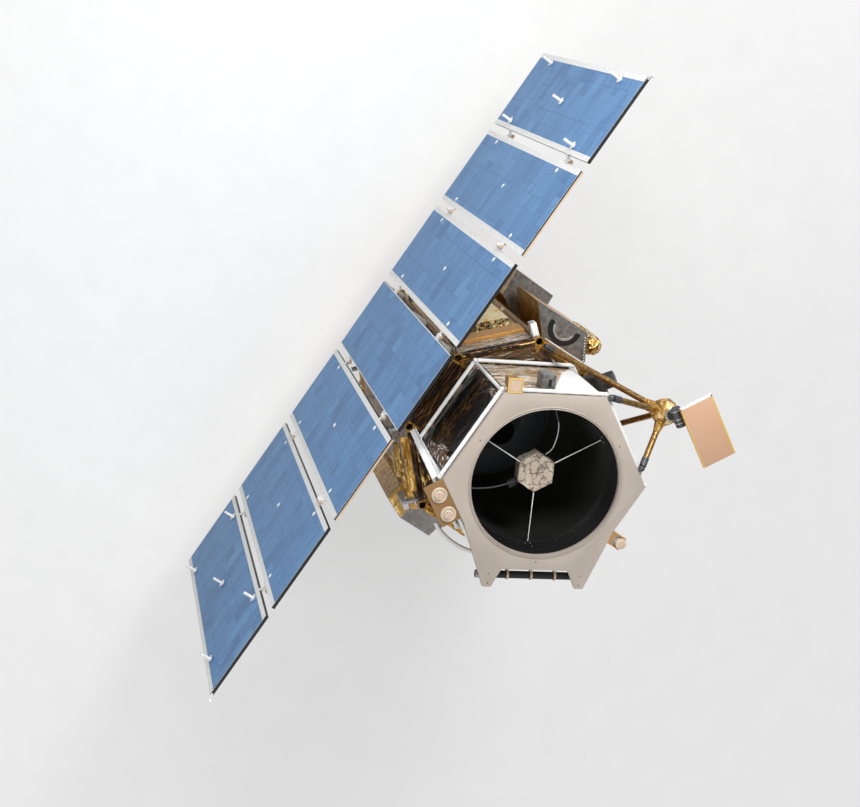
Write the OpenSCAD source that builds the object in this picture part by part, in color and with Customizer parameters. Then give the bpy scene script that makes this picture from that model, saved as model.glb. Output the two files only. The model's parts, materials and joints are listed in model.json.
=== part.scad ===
// Earth-imaging satellite, standing upright on its separation ring.
// Millimetres. Origin at the centre of the separation plane, +Z up along the
// telescope axis, +X along the solar array, +Y towards the array.

/* [Telescope] */
// Height of the front plate's front face above the separation plane
front_z = 4300; // [4100:10:4500]
// Corner radius of the hexagonal front plate
plate_r = 755; // [745:5:800]
// Thickness of the front plate
plate_t = 40; // [25:1:60]
// Radius of the aperture in the front plate
aperture_r = 550; // [500:5:560]
// Width of the raised lip round the aperture
lip_w = 22; // [12:1:30]
// Height of the raised lip above the front plate
lip_h = 10; // [5:1:20]
// How far the two feet of the front plate stand out past its flat
foot_drop = 146; // [110:2:180]
// Half width over the outer corners of the feet
foot_half = 380; // [360:5:400]
// Half width over the inner corners of the feet
foot_inner = 317; // [290:1:330]
// How far the notch floor between the feet stands out past the plate's flat
notch_drop = 6; // [0:1:40]
// Half width of the notch floor
notch_half = 250; // [200:5:270]
// Distance of the six shroud posts inside the plate's corners
post_inset = 20; // [10:1:40]
// Radius of a shroud post
post_r = 14; // [10:1:18]
// Thickness of a shroud panel
shroud_t = 20; // [10:1:24]
// Radius of the rods of the two shroud frames
rod_r = 16; // [8:1:20]
// Radius of the round caps at the corners of the shroud frames
cap_r = 18; // [12:1:22]
// Gap between the aperture's edge and the telescope barrel's wall
barrel_margin = 45; // [25:1:50]
// Wall of the telescope barrel
barrel_t = 16; // [8:1:20]
// Length of the telescope barrel behind the front plate
barrel_len = 2060; // [1500:10:2300]
// Number of baffle rings in the barrel
baffle_count = 6; // [3:1:9]
// Radial width of the baffle rings
baffle_w = 33; // [20:1:43]
// Depth of the secondary hub's front face behind the aperture
hub_depth = 270; // [200:5:350]
// Corner radius of the hexagonal secondary hub
hub_r = 155; // [120:1:180]
// Height of the secondary hub
hub_h = 110; // [60:5:160]
// Thickness of a spider vane
vane_t = 6; // [4:1:10]
// Height of a spider vane along the axis
vane_h = 40; // [25:1:60]
// Radial width of the ring that carries the spider
spider_ring_w = 60; // [47:1:75]
// Thickness of the primary mirror at its rim
mirror_t = 90; // [60:5:120]
// Radius of curvature of the primary mirror
mirror_curve = 5200; // [4000:100:8000]
// Radius of the hole in the primary mirror
mirror_hole = 115; // [100:5:150]
// Length of the baffle tube in front of the primary mirror
mirror_baffle_len = 620; // [300:10:800]

/* [Bus] */
// Distance of the bus walls' middle outside the circle through the front plate's corners
bus_margin = 21; // [18:1:45]
// Outer radius of a corner tube
tube_r = 33; // [25:1:40]
// Depth of the equipment deck behind the front plate's face
deck_depth = 970; // [900:10:1100]
// Height of the lower deck's top face above the separation plane
bus_bottom = 847; // [780:1:900]
// Thickness of the side walls
wall_t = 25; // [15:1:30]
// Thickness of the upper and lower decks
deck_t = 30; // [20:1:40]
// Radial width of the beams along the deck edge
beam_w = 50; // [30:1:56]
// Height of the beams along the deck edge
beam_h = 70; // [50:5:100]
// How far the beams stand above the deck
beam_rise = 10; // [0:1:20]
// Radius of the propellant tank
tank_r = 330; // [250:10:360]

/* [Separation ring] */
// Width of the flange outside the bolt circle
flange_out = 17; // [12:1:40]
// Width of the flange and web inside the bolt circle
flange_in = 32; // [28:1:50]
// Thickness of the flange
flange_t = 20; // [12:1:30]
// Height of the separation ring
ring_h = 50; // [40:1:80]
// Thickness of the ring's web and of the adapter cone
cone_t = 14; // [8:1:18]
// Distance of the adapter cone's rim inside the wall's middle
cone_inset = 56; // [30:2:120]
// Diameter of the bolt circle
bolt_circle = 1180; // [1170:1:1190]
// Number of bolt holes
bolt_count = 36; // [12:4:60]
// Radius of a bolt hole
bolt_hole_r = 4.5; // [3:0.5:6]

/* [Solar array] */
// Length of the solar panels along the axis
panel_l = 2892; // [2600:2:3000]
// Width of a wing panel
panel_w = 742; // [700:2:760]
// Width of the fixed centre panel
centre_w = 682; // [660:2:700]
// Thickness of a panel
panel_t = 25; // [20:1:28]
// Gap between neighbouring panels
panel_gap = 73; // [66:1:90]
// Distance of the cell face in front of the bus wall
array_standoff = 179; // [165:1:220]
// Distance of the array's front edge behind the front plate's face
array_depth = 561; // [500:1:700]
// Height of the fold pins above the cell face or below the back face
fold_rise = 20; // [16:1:26]
// Radius of a hinge pin
pin_r = 5; // [4:1:7]
// Outer radius of a hinge knuckle
knuckle_r = 12; // [11:1:14]
// Length of a hinge along its pin
hinge_l = 90; // [60:2:120]
// Distance of the hinges from the panel's middle
hinge_offset = 910; // [700:10:1100]
// Spacing of the hold-down points across a panel
hold_x = 596; // [560:2:610]
// Distance of the outer hold-down points from a panel's hinge edge
hold_edge = 73; // [66:1:90]
// Spacing of the hold-down points along a panel
hold_z = 1950; // [1600:10:2100]
// Outer radius of a hold-down bushing
bush_r = 14; // [11:1:18]
// Length of a retracted tie rod above the cells
tie_rod_l = 96; // [60:1:120]

/* [Antenna] */
// Distance of the truss hub from the front plate's flat
truss_out = 386; // [340:2:460]
// Depth of the truss hub behind the front plate's face
truss_depth = 216; // [180:2:260]
// Radius of the truss hub
truss_hub_r = 105; // [85:1:110]
// Radius of the truss struts
strut_r = 23; // [14:1:26]
// Length of the flat antenna panel
antenna_l = 496; // [400:2:560]
// Width of the antenna panel
antenna_w = 256; // [200:2:300]
// Thickness of the antenna panel
antenna_t = 30; // [20:1:40]
// Radius of the gimbal drives
drive_r = 42; // [34:1:46]

/* [Hidden] */
$fn = 72;

// Clearance between round faces that carry each other
seat = 0.3;
// Running clearance of a pin in its knuckle
running = 0.05;
// Clearance between two flat faces that bear on each other
face_gap = 0.05;
// How far a cutter runs past the face that it cuts
past = 1;

// Heights
deck_z = front_z - deck_depth;
plate_back = front_z - plate_t;
barrel_floor_z = plate_back - barrel_len;
array_top = front_z - array_depth;
array_bottom = array_top - panel_l;
hold_mid_z = array_top - panel_l / 2 - 28;

// Telescope radii
post_circle = plate_r - post_inset;
barrel_r = aperture_r + barrel_margin;
baffle_r = barrel_r - baffle_w;
spider_ring_r = barrel_r - spider_ring_w;
wall_mid = plate_r + bus_margin;
bus_r = wall_mid / cos(22.5);

// Separation ring radii
ring_r = bolt_circle / 2 + flange_out;
ring_inner = bolt_circle / 2 - flange_in;

// Hexagon and octagon helpers
hex_angles = [0, 60, 120, 180, 240, 300];
face_angles = [30, 90, 150, 210, 270, 330];
octagon_angles = [for (i = [0:7]) 22.5 + 45 * i];
wall_angles = [for (i = [0:7]) 45 * i];
function apothem6(r) = r * cos(30);
function polar(r, a) = [r * cos(a), r * sin(a)];

// Shroud faces
shroud_mid = apothem6(post_circle);
shroud_face = shroud_mid + shroud_t / 2;
frame_circle = (shroud_mid + post_r + rod_r + seat) / cos(30);

// Bus faces
wall_face = wall_mid + wall_t / 2;
beam_z = deck_z + beam_rise - beam_h;
cone_top_r = wall_mid - cone_inset;

// Front plate
foot_angle = 210;
plate_apothem = apothem6(plate_r);
foot_reach = plate_apothem + foot_drop;
notch_reach = plate_apothem + notch_drop;

// Array stations
array_y = wall_face + array_standoff;
panel_mid_y = array_y - panel_t / 2;
panel_back_y = array_y - panel_t;
root_pin_x = centre_w / 2 + panel_gap / 2;
inner_x = centre_w / 2 + panel_gap;
middle_x = inner_x + panel_w + panel_gap;
outer_x = middle_x + panel_w + panel_gap;
// Middles of the hold-down points, which lie over each other when the wing is folded
inner_hold = inner_x + hold_edge + hold_x / 2;
middle_hold = middle_x + panel_w - hold_edge - hold_x / 2;
outer_hold = outer_x + hold_edge + hold_x / 2;
hinge_zs = [array_top - panel_l / 2 - hinge_offset, array_top - panel_l / 2 + hinge_offset];
lug_l = (hinge_l - 2) / 3;

// Antenna places, on the axis that points 30 degrees below +X
boom_angle = -30;
truss_reach = plate_apothem + truss_out;
hub_centre = [truss_reach * cos(boom_angle), truss_reach * sin(boom_angle), front_z - truss_depth];
azimuth_reach = truss_reach + 20;
elevation_reach = azimuth_reach + 25;
azimuth_base_z = hub_centre.z + truss_hub_r - 12;
azimuth_top_z = azimuth_base_z + 30;
elevation_z = azimuth_top_z + 8 + drive_r;
antenna_back_z = elevation_z + drive_r + 20;

// The point a distance d from one point towards another
function toward(from, to, d) = from + (to - from) * d / norm(to - from);

// Runs a round bar from one point to another
module strut(from, to, r) {
    run = to - from;
    length = norm(run);
    translate(from)
        rotate([0, acos(run.z / length), atan2(run.y, run.x)])
            cylinder(h = length, r = r);
}

// A ring of square section, from its base up
module tube(outer, inner, h) {
    difference() {
        cylinder(h = h, r = outer);
        translate([0, 0, -past]) cylinder(h = h + 2 * past, r = inner);
    }
}

// ---------------------------------------------------------------- separation ring and bus

module separation_ring() color("silver")
    difference() {
        union() {
            cylinder(h = flange_t, r = ring_r, $fn = 144);
            cylinder(h = ring_h, r = ring_inner + cone_t, $fn = 144);
        }
        translate([0, 0, -past]) cylinder(h = ring_h + 2 * past, r = ring_inner, $fn = 144);
        for (i = [0:bolt_count - 1])
            rotate(360 / bolt_count * (i + 0.5))
                translate([bolt_circle / 2, 0, -past])
                    cylinder(h = flange_t + 2 * past, r = bolt_hole_r, $fn = 24);
    }

cone_h = bus_bottom - deck_t - ring_h;

module adapter_cone() color("goldenrod")
    translate([0, 0, ring_h])
        difference() {
            cylinder(h = cone_h, r1 = ring_inner + cone_t, r2 = cone_top_r);
            inner_cone();
        }

// The cone's hollow, run past both ends along the same slope
module inner_cone() {
    slope = (cone_top_r - ring_inner - cone_t) / cone_h;
    translate([0, 0, -past])
        cylinder(h = cone_h + 2 * past, r1 = ring_inner - slope * past,
                 r2 = cone_top_r - cone_t + slope * past);
}

module octagon_prism(apothem, h)
    rotate(22.5) cylinder(h = h, r = apothem / cos(22.5), $fn = 8);

module lower_deck() color("darkgoldenrod")
    translate([0, 0, bus_bottom - deck_t]) octagon_prism(wall_mid + tube_r, deck_t);

// Cylinders on the corner tubes' axes
module corner_cylinders(r, z, h)
    for (a = octagon_angles)
        translate([bus_r * cos(a), bus_r * sin(a), z]) cylinder(h = h, r = r, $fn = 48);

tube_bore_depth = 120;
tube_wall = 6;

module corner_tubes() color("gold")
    difference() {
        corner_cylinders(tube_r, bus_bottom, deck_z - bus_bottom);
        corner_cylinders(tube_r - tube_wall, deck_z - tube_bore_depth, tube_bore_depth + past);
    }

module side_walls() color("gold")
    difference() {
        for (a = wall_angles)
            rotate(a)
                translate([wall_mid - wall_t / 2, -bus_r * sin(22.5), bus_bottom])
                    cube([wall_t, 2 * bus_r * sin(22.5), beam_z - bus_bottom]);
        corner_cylinders(tube_r + seat, bus_bottom - past, deck_z - bus_bottom + 2 * past);
    }

module deck_beams() color("gold")
    difference() {
        for (a = wall_angles)
            rotate(a)
                translate([wall_mid - beam_w / 2, -bus_r * sin(22.5), beam_z])
                    cube([beam_w, 2 * bus_r * sin(22.5), beam_h]);
        corner_cylinders(tube_r + seat, beam_z - past, beam_h + 2 * past);
    }

module upper_deck() color("darkgoldenrod")
    difference() {
        translate([0, 0, deck_z - deck_t]) octagon_prism(wall_mid - beam_w / 2 - face_gap, deck_t);
        translate([0, 0, deck_z - deck_t - past])
            cylinder(h = deck_t + 2 * past, r = barrel_r + barrel_t + seat, $fn = 144);
        corner_cylinders(tube_r + seat, deck_z - deck_t - past, deck_t + 2 * past);
    }

module propellant_tank() color("silver")
    translate([0, 0, bus_bottom]) {
        cylinder(h = tank_r, r = tank_r * 0.8);
        translate([0, 0, tank_r]) sphere(r = tank_r);
    }

thruster_h = 110;
thruster_out = 60;

module thrusters() color("dimgray")
    for (a = [45:90:315])
        rotate(a)
            translate([cone_top_r + thruster_out, 0, bus_bottom - deck_t - thruster_h]) {
                difference() {
                    cylinder(h = thruster_h * 0.6, r1 = 32, r2 = 12, $fn = 48);
                    translate([0, 0, -past]) cylinder(h = thruster_h * 0.5, r1 = 29, r2 = 8, $fn = 48);
                }
                translate([0, 0, thruster_h * 0.6]) cylinder(h = thruster_h * 0.4, r = 24, $fn = 48);
            }

radiator_t = 12;

radiator_w = 500;
radiator_l = 1700;

module radiator_panels() color("lightgray")
    for (a = [225, 270, 315])
        rotate(a)
            translate([wall_face + face_gap, -radiator_w / 2, bus_bottom + 300])
                cube([radiator_t, radiator_w, radiator_l]);

// ---------------------------------------------------------------- telescope

module plate_outline()
    rotate(foot_angle)
        polygon([
            [foot_reach, -foot_half], [foot_reach, -foot_inner],
            [notch_reach, -notch_half], [notch_reach, notch_half],
            [foot_reach, foot_inner], [foot_reach, foot_half],
            polar(plate_apothem, 60), polar(plate_r, 90), polar(plate_r, 150),
            polar(plate_r, 210), polar(plate_r, 270), polar(plate_apothem, 300)
        ]);

module front_plate() color("tan")
    translate([0, 0, plate_back])
        difference() {
            linear_extrude(plate_t) plate_outline();
            translate([0, 0, -past]) cylinder(h = plate_t + 2 * past, r = aperture_r, $fn = 144);
        }

module aperture_lip() color("tan")
    translate([0, 0, front_z]) tube(aperture_r + lip_w, aperture_r, lip_h, $fn = 144);

shroud_h = plate_back - deck_z;

module post_cylinders(r, z, h)
    for (a = hex_angles)
        translate([post_circle * cos(a), post_circle * sin(a), z]) cylinder(h = h, r = r, $fn = 48);

module shroud_panels() color("darkgoldenrod")
    difference() {
        for (a = face_angles)
            rotate(a)
                translate([shroud_mid - shroud_t / 2, -post_circle / 2, deck_z + face_gap])
                    cube([shroud_t, post_circle, shroud_h - face_gap]);
        post_cylinders(post_r + seat, deck_z - past, shroud_h + 2 * past);
    }

module shroud_posts() color("white")
    post_cylinders(post_r, deck_z, shroud_h);

frame_offset = 35;

// Two hexagons of rods round the shroud, with round caps at their corners
module shroud_frames() color("white")
    for (z = [deck_z + frame_offset, plate_back - cap_r - 2])
        for (a = hex_angles) {
            here = [frame_circle * cos(a), frame_circle * sin(a), z];
            next = [frame_circle * cos(a + 60), frame_circle * sin(a + 60), z];
            strut(toward(here, next, cap_r + seat), toward(next, here, cap_r + seat), rod_r);
            translate(here) sphere(r = cap_r);
        }

barrel_floor_t = 20;

module telescope_barrel() color("black")
    translate([0, 0, barrel_floor_z])
        difference() {
            cylinder(h = barrel_len, r = barrel_r + barrel_t, $fn = 144);
            translate([0, 0, barrel_floor_t])
                cylinder(h = barrel_len - barrel_floor_t + past, r = barrel_r, $fn = 144);
        }

baffle_t = 5;
baffle_top_z = front_z - hub_depth - 280;
baffle_step = 210;

module baffle_rings() color("black")
    for (i = [0:baffle_count - 1])
        translate([0, 0, baffle_top_z - i * baffle_step])
            tube(barrel_r - seat, baffle_r, baffle_t, $fn = 144);

mirror_z = barrel_floor_z + barrel_floor_t;

module primary_mirror() color("lightsteelblue")
    difference() {
        translate([0, 0, mirror_z]) cylinder(h = mirror_t, r = aperture_r, $fn = 144);
        translate([0, 0, mirror_z + mirror_t + sqrt(mirror_curve * mirror_curve - aperture_r * aperture_r)])
            sphere(r = mirror_curve, $fn = 144);
        translate([0, 0, mirror_z - past]) cylinder(h = mirror_t + 2 * past, r = mirror_hole);
    }

mirror_baffle_t = 5;

module mirror_baffle() color("black")
    translate([0, 0, mirror_z])
        tube(mirror_hole - seat, mirror_hole - seat - mirror_baffle_t, mirror_t + mirror_baffle_len);

hub_top = front_z - hub_depth;
spider_angles = [90, 210, 330];
spider_ring_t = 40;

module spider_ring() color("black")
    translate([0, 0, hub_top - vane_h]) tube(barrel_r - seat, spider_ring_r, spider_ring_t, $fn = 144);

module hub_prism(extra, z, h)
    translate([0, 0, z]) rotate(30) cylinder(h = h, r = hub_r + extra, $fn = 6);

module spider_vanes() color("white")
    difference() {
        for (a = spider_angles)
            rotate(a)
                translate([hub_r - 6, -vane_t / 2, hub_top - vane_h])
                    cube([spider_ring_r - hub_r + 5.5, vane_t, vane_h]);
        hub_prism(0, hub_top - hub_h - past, hub_h + 2 * past);
    }

module secondary_hub() color("tan")
    union() {
        hub_prism(0, hub_top - hub_h, hub_h);
        translate([0, 0, hub_top - hub_h - 25]) cylinder(h = 25, r = hub_r * 0.72);
    }

// ---------------------------------------------------------------- equipment

box_a_top = front_z - 1500;
box_a_h = 690;
box_a_near = [wall_face + 40, -286];
box_a_far = [wall_face + 242, -161];

module right_equipment_box() color("gold")
    translate([0, 0, box_a_top - box_a_h])
        linear_extrude(box_a_h)
            polygon([[wall_face, -262], box_a_near, box_a_far, [wall_face + 225, 345], [wall_face, 128]]);

box_b_top = front_z - 2300;
box_b_h = 880;

module right_radiator_box() color("silver")
    translate([0, 0, box_b_top - box_b_h])
        linear_extrude(box_b_h)
            polygon([[wall_face, -40], [wall_face + 320, -16], [wall_face + 324, 375],
                     [wall_face + 90, 355], [wall_face, 200]]);

canister_r = 85;
canister_along = 107;

// Stands against the slanted side of the right equipment box
module foil_canister() color("gold") {
    run = (box_a_far - box_a_near) / norm(box_a_far - box_a_near);
    out = [run.y, -run.x];
    centre = box_a_near + run * canister_along + out * (canister_r + seat);
    translate([centre.x, centre.y, box_a_top - box_a_h]) cylinder(h = box_a_h - 60, r = canister_r);
}

box_c_top = front_z - 1800;
box_c_h = 900;

module left_equipment_box() color("gold")
    translate([0, 0, box_c_top - box_c_h])
        linear_extrude(box_c_h)
            polygon([[-wall_face, -180], [-wall_face - 180, -205], [-wall_face - 315, -178],
                     [-wall_face - 315, 120], [-wall_face - 230, 315], [-wall_face - 75, 300],
                     [-wall_face, 240]]);

tracker_w = 170;
tracker_h = 150;
tracker_depth = 150;

module star_tracker() color("dimgray")
    rotate(boom_angle)
        translate([shroud_face, 224 - tracker_w / 2, front_z - 830]) {
            cube([tracker_depth, tracker_w, tracker_h]);
            translate([tracker_depth - 30, tracker_w / 2, tracker_h / 2])
                rotate([0, 70, 0]) cylinder(h = 130, r = 68, $fn = 8);
        }

module sensor_bracket() color("gray")
    rotate(30)
        translate([shroud_face, -15, front_z - 250]) cube([131, 100, 150]);

patch_w = 110;
patch_gap = 0.3;
// Clears the upper rods of the shroud
patch_leg_in = apothem6(frame_circle) + rod_r + 1 - plate_apothem - patch_gap;

module patch_antenna() color("gold")
    rotate(30)
        translate([plate_apothem + patch_gap, 251, front_z - 150]) {
            translate([0, 0, 120]) cube([patch_w, patch_w, 30]);
            translate([patch_leg_in, 12, 0]) cube([patch_w - patch_leg_in - 12, patch_w - 24, 120]);
        }

shelf_near = 50;
shelf_far = 380;
shelf_w = 155;
shelf_t = 20;

module antenna_shelf() color("goldenrod")
    rotate(150)
        translate([plate_apothem + patch_gap, -shelf_far, front_z - shelf_t])
            cube([shelf_w, shelf_far - shelf_near, shelf_t]);

module domed_antennas() color("wheat")
    rotate(150)
        for (y = [-284, -125])
            translate([plate_apothem + 73, y, front_z]) {
                cylinder(h = 18, r = 58);
                cylinder(h = 30, r = 31);
            }

omni_z = front_z - 38;
omni_w = 100;
omni_l = 132;
omni_wall = 8;

// A tray, open at its outer end, on the slanted edge of the front plate, with a round antenna in it
module omni_antenna() color("gold")
    difference() {
        rotate(-90)
            translate([plate_apothem - 5, -67 - omni_w / 2, omni_z]) {
                cube([omni_l, omni_w, omni_wall]);
                cube([42, omni_w, 30]);
                for (y = [0, omni_w - omni_wall])
                    translate([0, y, 0]) cube([omni_l, omni_wall, 34]);
                translate([116, omni_w / 2, 0]) cylinder(h = 46, r = 40);
            }
        translate([0, 0, plate_back - past])
            linear_extrude(plate_t + 2 * past) plate_outline();
    }

torque_r = 28;
torque_l = 840;
torque_out = 89;
torque_reach = shroud_face + torque_out;
torque_z = front_z - 95;
clamp_w = 16;
clamp_r = 36;

module torque_rod() color("black")
    rotate(foot_angle)
        translate([torque_reach, 0, torque_z])
            rotate([90, 0, 0]) cylinder(h = torque_l, r = torque_r, center = true);

module torque_rod_clamps() color("tan")
    rotate(foot_angle)
        difference() {
            for (y = [-180, 0, 180]) {
                translate([torque_reach, y, torque_z])
                    rotate([90, 0, 0]) cylinder(h = clamp_w, r = clamp_r, center = true);
                translate([shroud_face, y - clamp_w / 2, torque_z - 38])
                    cube([torque_reach - 20 - shroud_face, clamp_w, 56]);
            }
            translate([torque_reach, 0, torque_z])
                rotate([90, 0, 0]) cylinder(h = torque_l, r = torque_r + seat, center = true);
        }

rail_arc = 510;
rail_bow = 109;
rail_centre = [rail_arc - wall_mid - rail_bow, -60, deck_z + 70];
rail_r = 17;
rail_leg_r = 8;

// A white guard rail that bows out over the deck edge, on two legs that turn in to the beam
module handrail() color("white") {
    translate(rail_centre)
        rotate(152) rotate_extrude(angle = 64, $fn = 144) translate([rail_arc, 0]) circle(r = rail_r);
    difference() {
        for (a = [160, 200]) {
            top = rail_centre + [rail_arc * cos(a), rail_arc * sin(a), 0];
            low = [-wall_mid, top.y, beam_z + beam_h / 2];
            strut(low, top, rail_leg_r);
        }
        translate([-wall_mid - beam_w / 2 - seat, -bus_r, beam_z])
            cube([2 * beam_w, 2 * bus_r, 2 * beam_h]);
    }
}

// ---------------------------------------------------------------- solar array

// One side of each of two hinges: a leaf from the panel's edge to the pin, with lugs.
// The edge is at x = 0, the pin at x = panel_gap / 2, y = rise from the panel's mid-plane.
module leaf(rise, z, lug_zs)
    for (lug_z = lug_zs)
        translate([0, 0, z + lug_z])
            difference() {
                union() {
                    linear_extrude(lug_l)
                        polygon([[0, -panel_t / 2], [panel_gap / 2, rise - knuckle_r],
                                 [panel_gap / 2, rise + knuckle_r], [0, panel_t / 2]]);
                    translate([panel_gap / 2, rise, 0]) cylinder(h = lug_l, r = knuckle_r, $fn = 48);
                }
                translate([panel_gap / 2, rise, -past])
                    cylinder(h = lug_l + 2 * past, r = pin_r + running, $fn = 48);
            }

outer_lugs = [-hinge_l / 2, hinge_l / 2 - lug_l];
middle_lug = [-lug_l / 2];
pin_head = 4;

// The half of a hinge line that holds the pins
module pin_side(rise)
    for (z = hinge_zs) {
        leaf(rise, z, outer_lugs);
        translate([panel_gap / 2, rise, z - hinge_l / 2 - pin_head])
            cylinder(h = hinge_l + 2 * pin_head, r = pin_r, $fn = 48);
        for (end = [z - hinge_l / 2 - pin_head, z + hinge_l / 2])
            translate([panel_gap / 2, rise, end]) cylinder(h = pin_head, r = pin_r + 3, $fn = 48);
    }

// The half that turns on the pins
module knuckle_side(rise)
    for (z = hinge_zs) leaf(rise, z, middle_lug);

hold_points = [[-1, -1], [1, -1], [0, 0], [-1, 1], [1, 1]];
bush_flange_t = 3;
bush_bore = 7;
tie_rod_r = 12;
tie_flange_r = 33;
tie_flange_y = 12;

// Moves a child to each hold-down point of a panel whose middle is at x = mid
module at_hold_points(mid)
    for (p = hold_points)
        translate([mid + p.x * hold_x / 2, 0, hold_mid_z + p.y * hold_z / 2]) children();

// A round bar along +Y
module along_y(r, y0, y1)
    translate([0, y0, 0]) rotate([-90, 0, 0]) cylinder(h = y1 - y0, r = r, $fn = 32);

// A wing panel from x, with its hold-down points about hold_mid
module wing_panel(x, hold_mid)
    difference() {
        translate([x, panel_back_y, array_bottom]) cube([panel_w, panel_t, panel_l]);
        at_hold_points(hold_mid) along_y(bush_r + seat, panel_back_y - past, array_y + past);
    }

module bushing()
    difference() {
        union() {
            along_y(bush_r, panel_back_y - bush_flange_t, array_y + bush_flange_t);
            along_y(bush_r + 6, array_y, array_y + bush_flange_t);
            along_y(bush_r + 6, panel_back_y - bush_flange_t, panel_back_y);
        }
        along_y(bush_bore, panel_back_y - bush_flange_t - past, array_y + bush_flange_t + past);
    }

module tie_rod() {
    along_y(bush_r, panel_back_y - bush_flange_t, array_y + bush_flange_t);
    along_y(bush_r + 6, array_y, array_y + bush_flange_t);
    along_y(bush_r + 6, panel_back_y - bush_flange_t, panel_back_y);
    along_y(tie_rod_r, array_y, array_y + tie_rod_l);
    along_y(tie_flange_r, array_y + tie_flange_y, array_y + tie_flange_y + bush_flange_t);
}

tip_sensor_r = 16;
tip_sensor_out = 22;
tip_sensor_up = 58;

// A sun sensor on a short stalk at the outer front corner of a wing
module tip_sensor() {
    root = [outer_x + panel_w - 10, panel_mid_y, array_top];
    head = [outer_x + panel_w + tip_sensor_out, panel_mid_y, array_top + tip_sensor_up];
    strut(toward(root, head, 8), head, 5);
    translate(root) cylinder(h = 9, r = 8, $fn = 32);
    translate(head) sphere(r = tip_sensor_r, $fn = 48);
}

// Places a hinge line at a panel's edge: side 1 looks along +X, side -1 along -X
module at_edge(x, side)
    translate([x, panel_mid_y, 0]) mirror([side < 0 ? 1 : 0, 0, 0]) children();

front_fold = panel_t / 2 + fold_rise;

module inner_fittings() {
    at_edge(inner_x, -1) knuckle_side(0);
    at_edge(inner_x + panel_w, 1) pin_side(front_fold);
    at_hold_points(inner_hold) bushing();
}

module middle_fittings() {
    at_edge(middle_x, -1) knuckle_side(front_fold);
    at_edge(middle_x + panel_w, 1) pin_side(-front_fold);
    at_hold_points(middle_hold) bushing();
}

module outer_fittings() {
    at_edge(outer_x, -1) knuckle_side(-front_fold);
    at_hold_points(outer_hold) tie_rod();
    tip_sensor();
}

module left() mirror([1, 0, 0]) children();

module centre_panel() color("steelblue")
    translate([-centre_w / 2, panel_back_y, array_bottom]) cube([centre_w, panel_t, panel_l]);

module root_hinges() color("white") {
    at_edge(centre_w / 2, 1) pin_side(0);
    at_edge(-centre_w / 2, -1) pin_side(0);
}

bracket_w = 40;
bracket_h = 120;
bracket_near = wall_mid + beam_w / 2 + 2;
// Places the brackets under the side edges of the centre panel
bracket_far_x = (centre_w - bracket_w) / 2;

module array_brackets() color("white")
    difference() {
        for (side = [-1, 1])
            for (z = [array_bottom + 160, (array_bottom + deck_z) / 2, deck_z - 260])
                translate([0, 0, z])
                    linear_extrude(bracket_h)
                        polygon([
                            [side * bus_r * sin(22.5) - bracket_w / 2, bracket_near],
                            [side * bus_r * sin(22.5) + bracket_w / 2, bracket_near],
                            [side * bracket_far_x + bracket_w / 2, panel_back_y],
                            [side * bracket_far_x - bracket_w / 2, panel_back_y]
                        ]);
        corner_cylinders(tube_r + seat, bus_bottom - past, deck_z - bus_bottom + 2 * past);
    }

cup_r = 20;
cup_clear = 8;
// Distance of the stowed inner panel's back face from the axis
stow_face = (root_pin_x + panel_mid_y) / sqrt(2) - panel_t / 2;
stow_s = (root_pin_x - panel_mid_y) / sqrt(2) + inner_hold - root_pin_x;

// Cups on the two diagonal walls, which take the hold-down points of the folded wings
module hold_down_cups() color("silver")
    difference() {
        for (side = [0, 1])
            mirror([side, 0, 0])
                rotate(45)
                    for (p = hold_points)
                        translate([wall_face, -stow_s - p.x * hold_x / 2, hold_mid_z + p.y * hold_z / 2])
                            rotate([0, 90, 0])
                                cylinder(h = stow_face - bush_flange_t - cup_clear - wall_face,
                                         r = cup_r, $fn = 40);
        corner_cylinders(tube_r + seat, bus_bottom, deck_z - bus_bottom);
    }

module inner_panel_right() color("steelblue") wing_panel(inner_x, inner_hold);
module middle_panel_right() color("steelblue") wing_panel(middle_x, middle_hold);
module outer_panel_right() color("steelblue") wing_panel(outer_x, outer_hold);
module inner_panel_left() color("steelblue") left() wing_panel(inner_x, inner_hold);
module middle_panel_left() color("steelblue") left() wing_panel(middle_x, middle_hold);
module outer_panel_left() color("steelblue") left() wing_panel(outer_x, outer_hold);
module inner_fittings_right() color("white") inner_fittings();
module middle_fittings_right() color("white") middle_fittings();
module outer_fittings_right() color("white") outer_fittings();
module inner_fittings_left() color("white") left() inner_fittings();
module middle_fittings_left() color("white") left() middle_fittings();
module outer_fittings_left() color("white") left() outer_fittings();

// ---------------------------------------------------------------- antenna and its truss

fitting_r = 24;

// Ends of the four struts on the satellite
strut_feet = [
    [wall_mid, bus_r * sin(22.5) - tube_r - 26, deck_z + beam_rise + fitting_r],
    [(plate_apothem + 34) * cos(boom_angle) + 357 * sin(-boom_angle),
     (plate_apothem + 34) * sin(boom_angle) + 357 * cos(boom_angle), front_z - fitting_r],
    [wall_mid * cos(-45), wall_mid * sin(-45), deck_z + beam_rise + fitting_r],
    [(plate_apothem + 34) * cos(boom_angle) - 240 * sin(-boom_angle),
     (plate_apothem + 34) * sin(boom_angle) - 240 * cos(boom_angle), front_z - fitting_r]
];

module antenna_truss() color("peru")
    for (foot = strut_feet)
        strut(toward(foot, hub_centre, fitting_r + seat),
              toward(hub_centre, foot, truss_hub_r + seat), strut_r);

module truss_fittings() color("silver") {
    for (foot = strut_feet) translate(foot) sphere(r = fitting_r, $fn = 48);
    for (foot = [strut_feet[0], strut_feet[2]])
        translate([foot.x, foot.y, deck_z + beam_rise]) cylinder(h = fitting_r, r = 16, $fn = 48);
    rotate(boom_angle)
        for (y = [357, -240])
            translate([plate_apothem + seat, y, front_z - fitting_r])
                rotate([0, 90, 0]) cylinder(h = 34, r = 14, $fn = 48);
}

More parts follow.
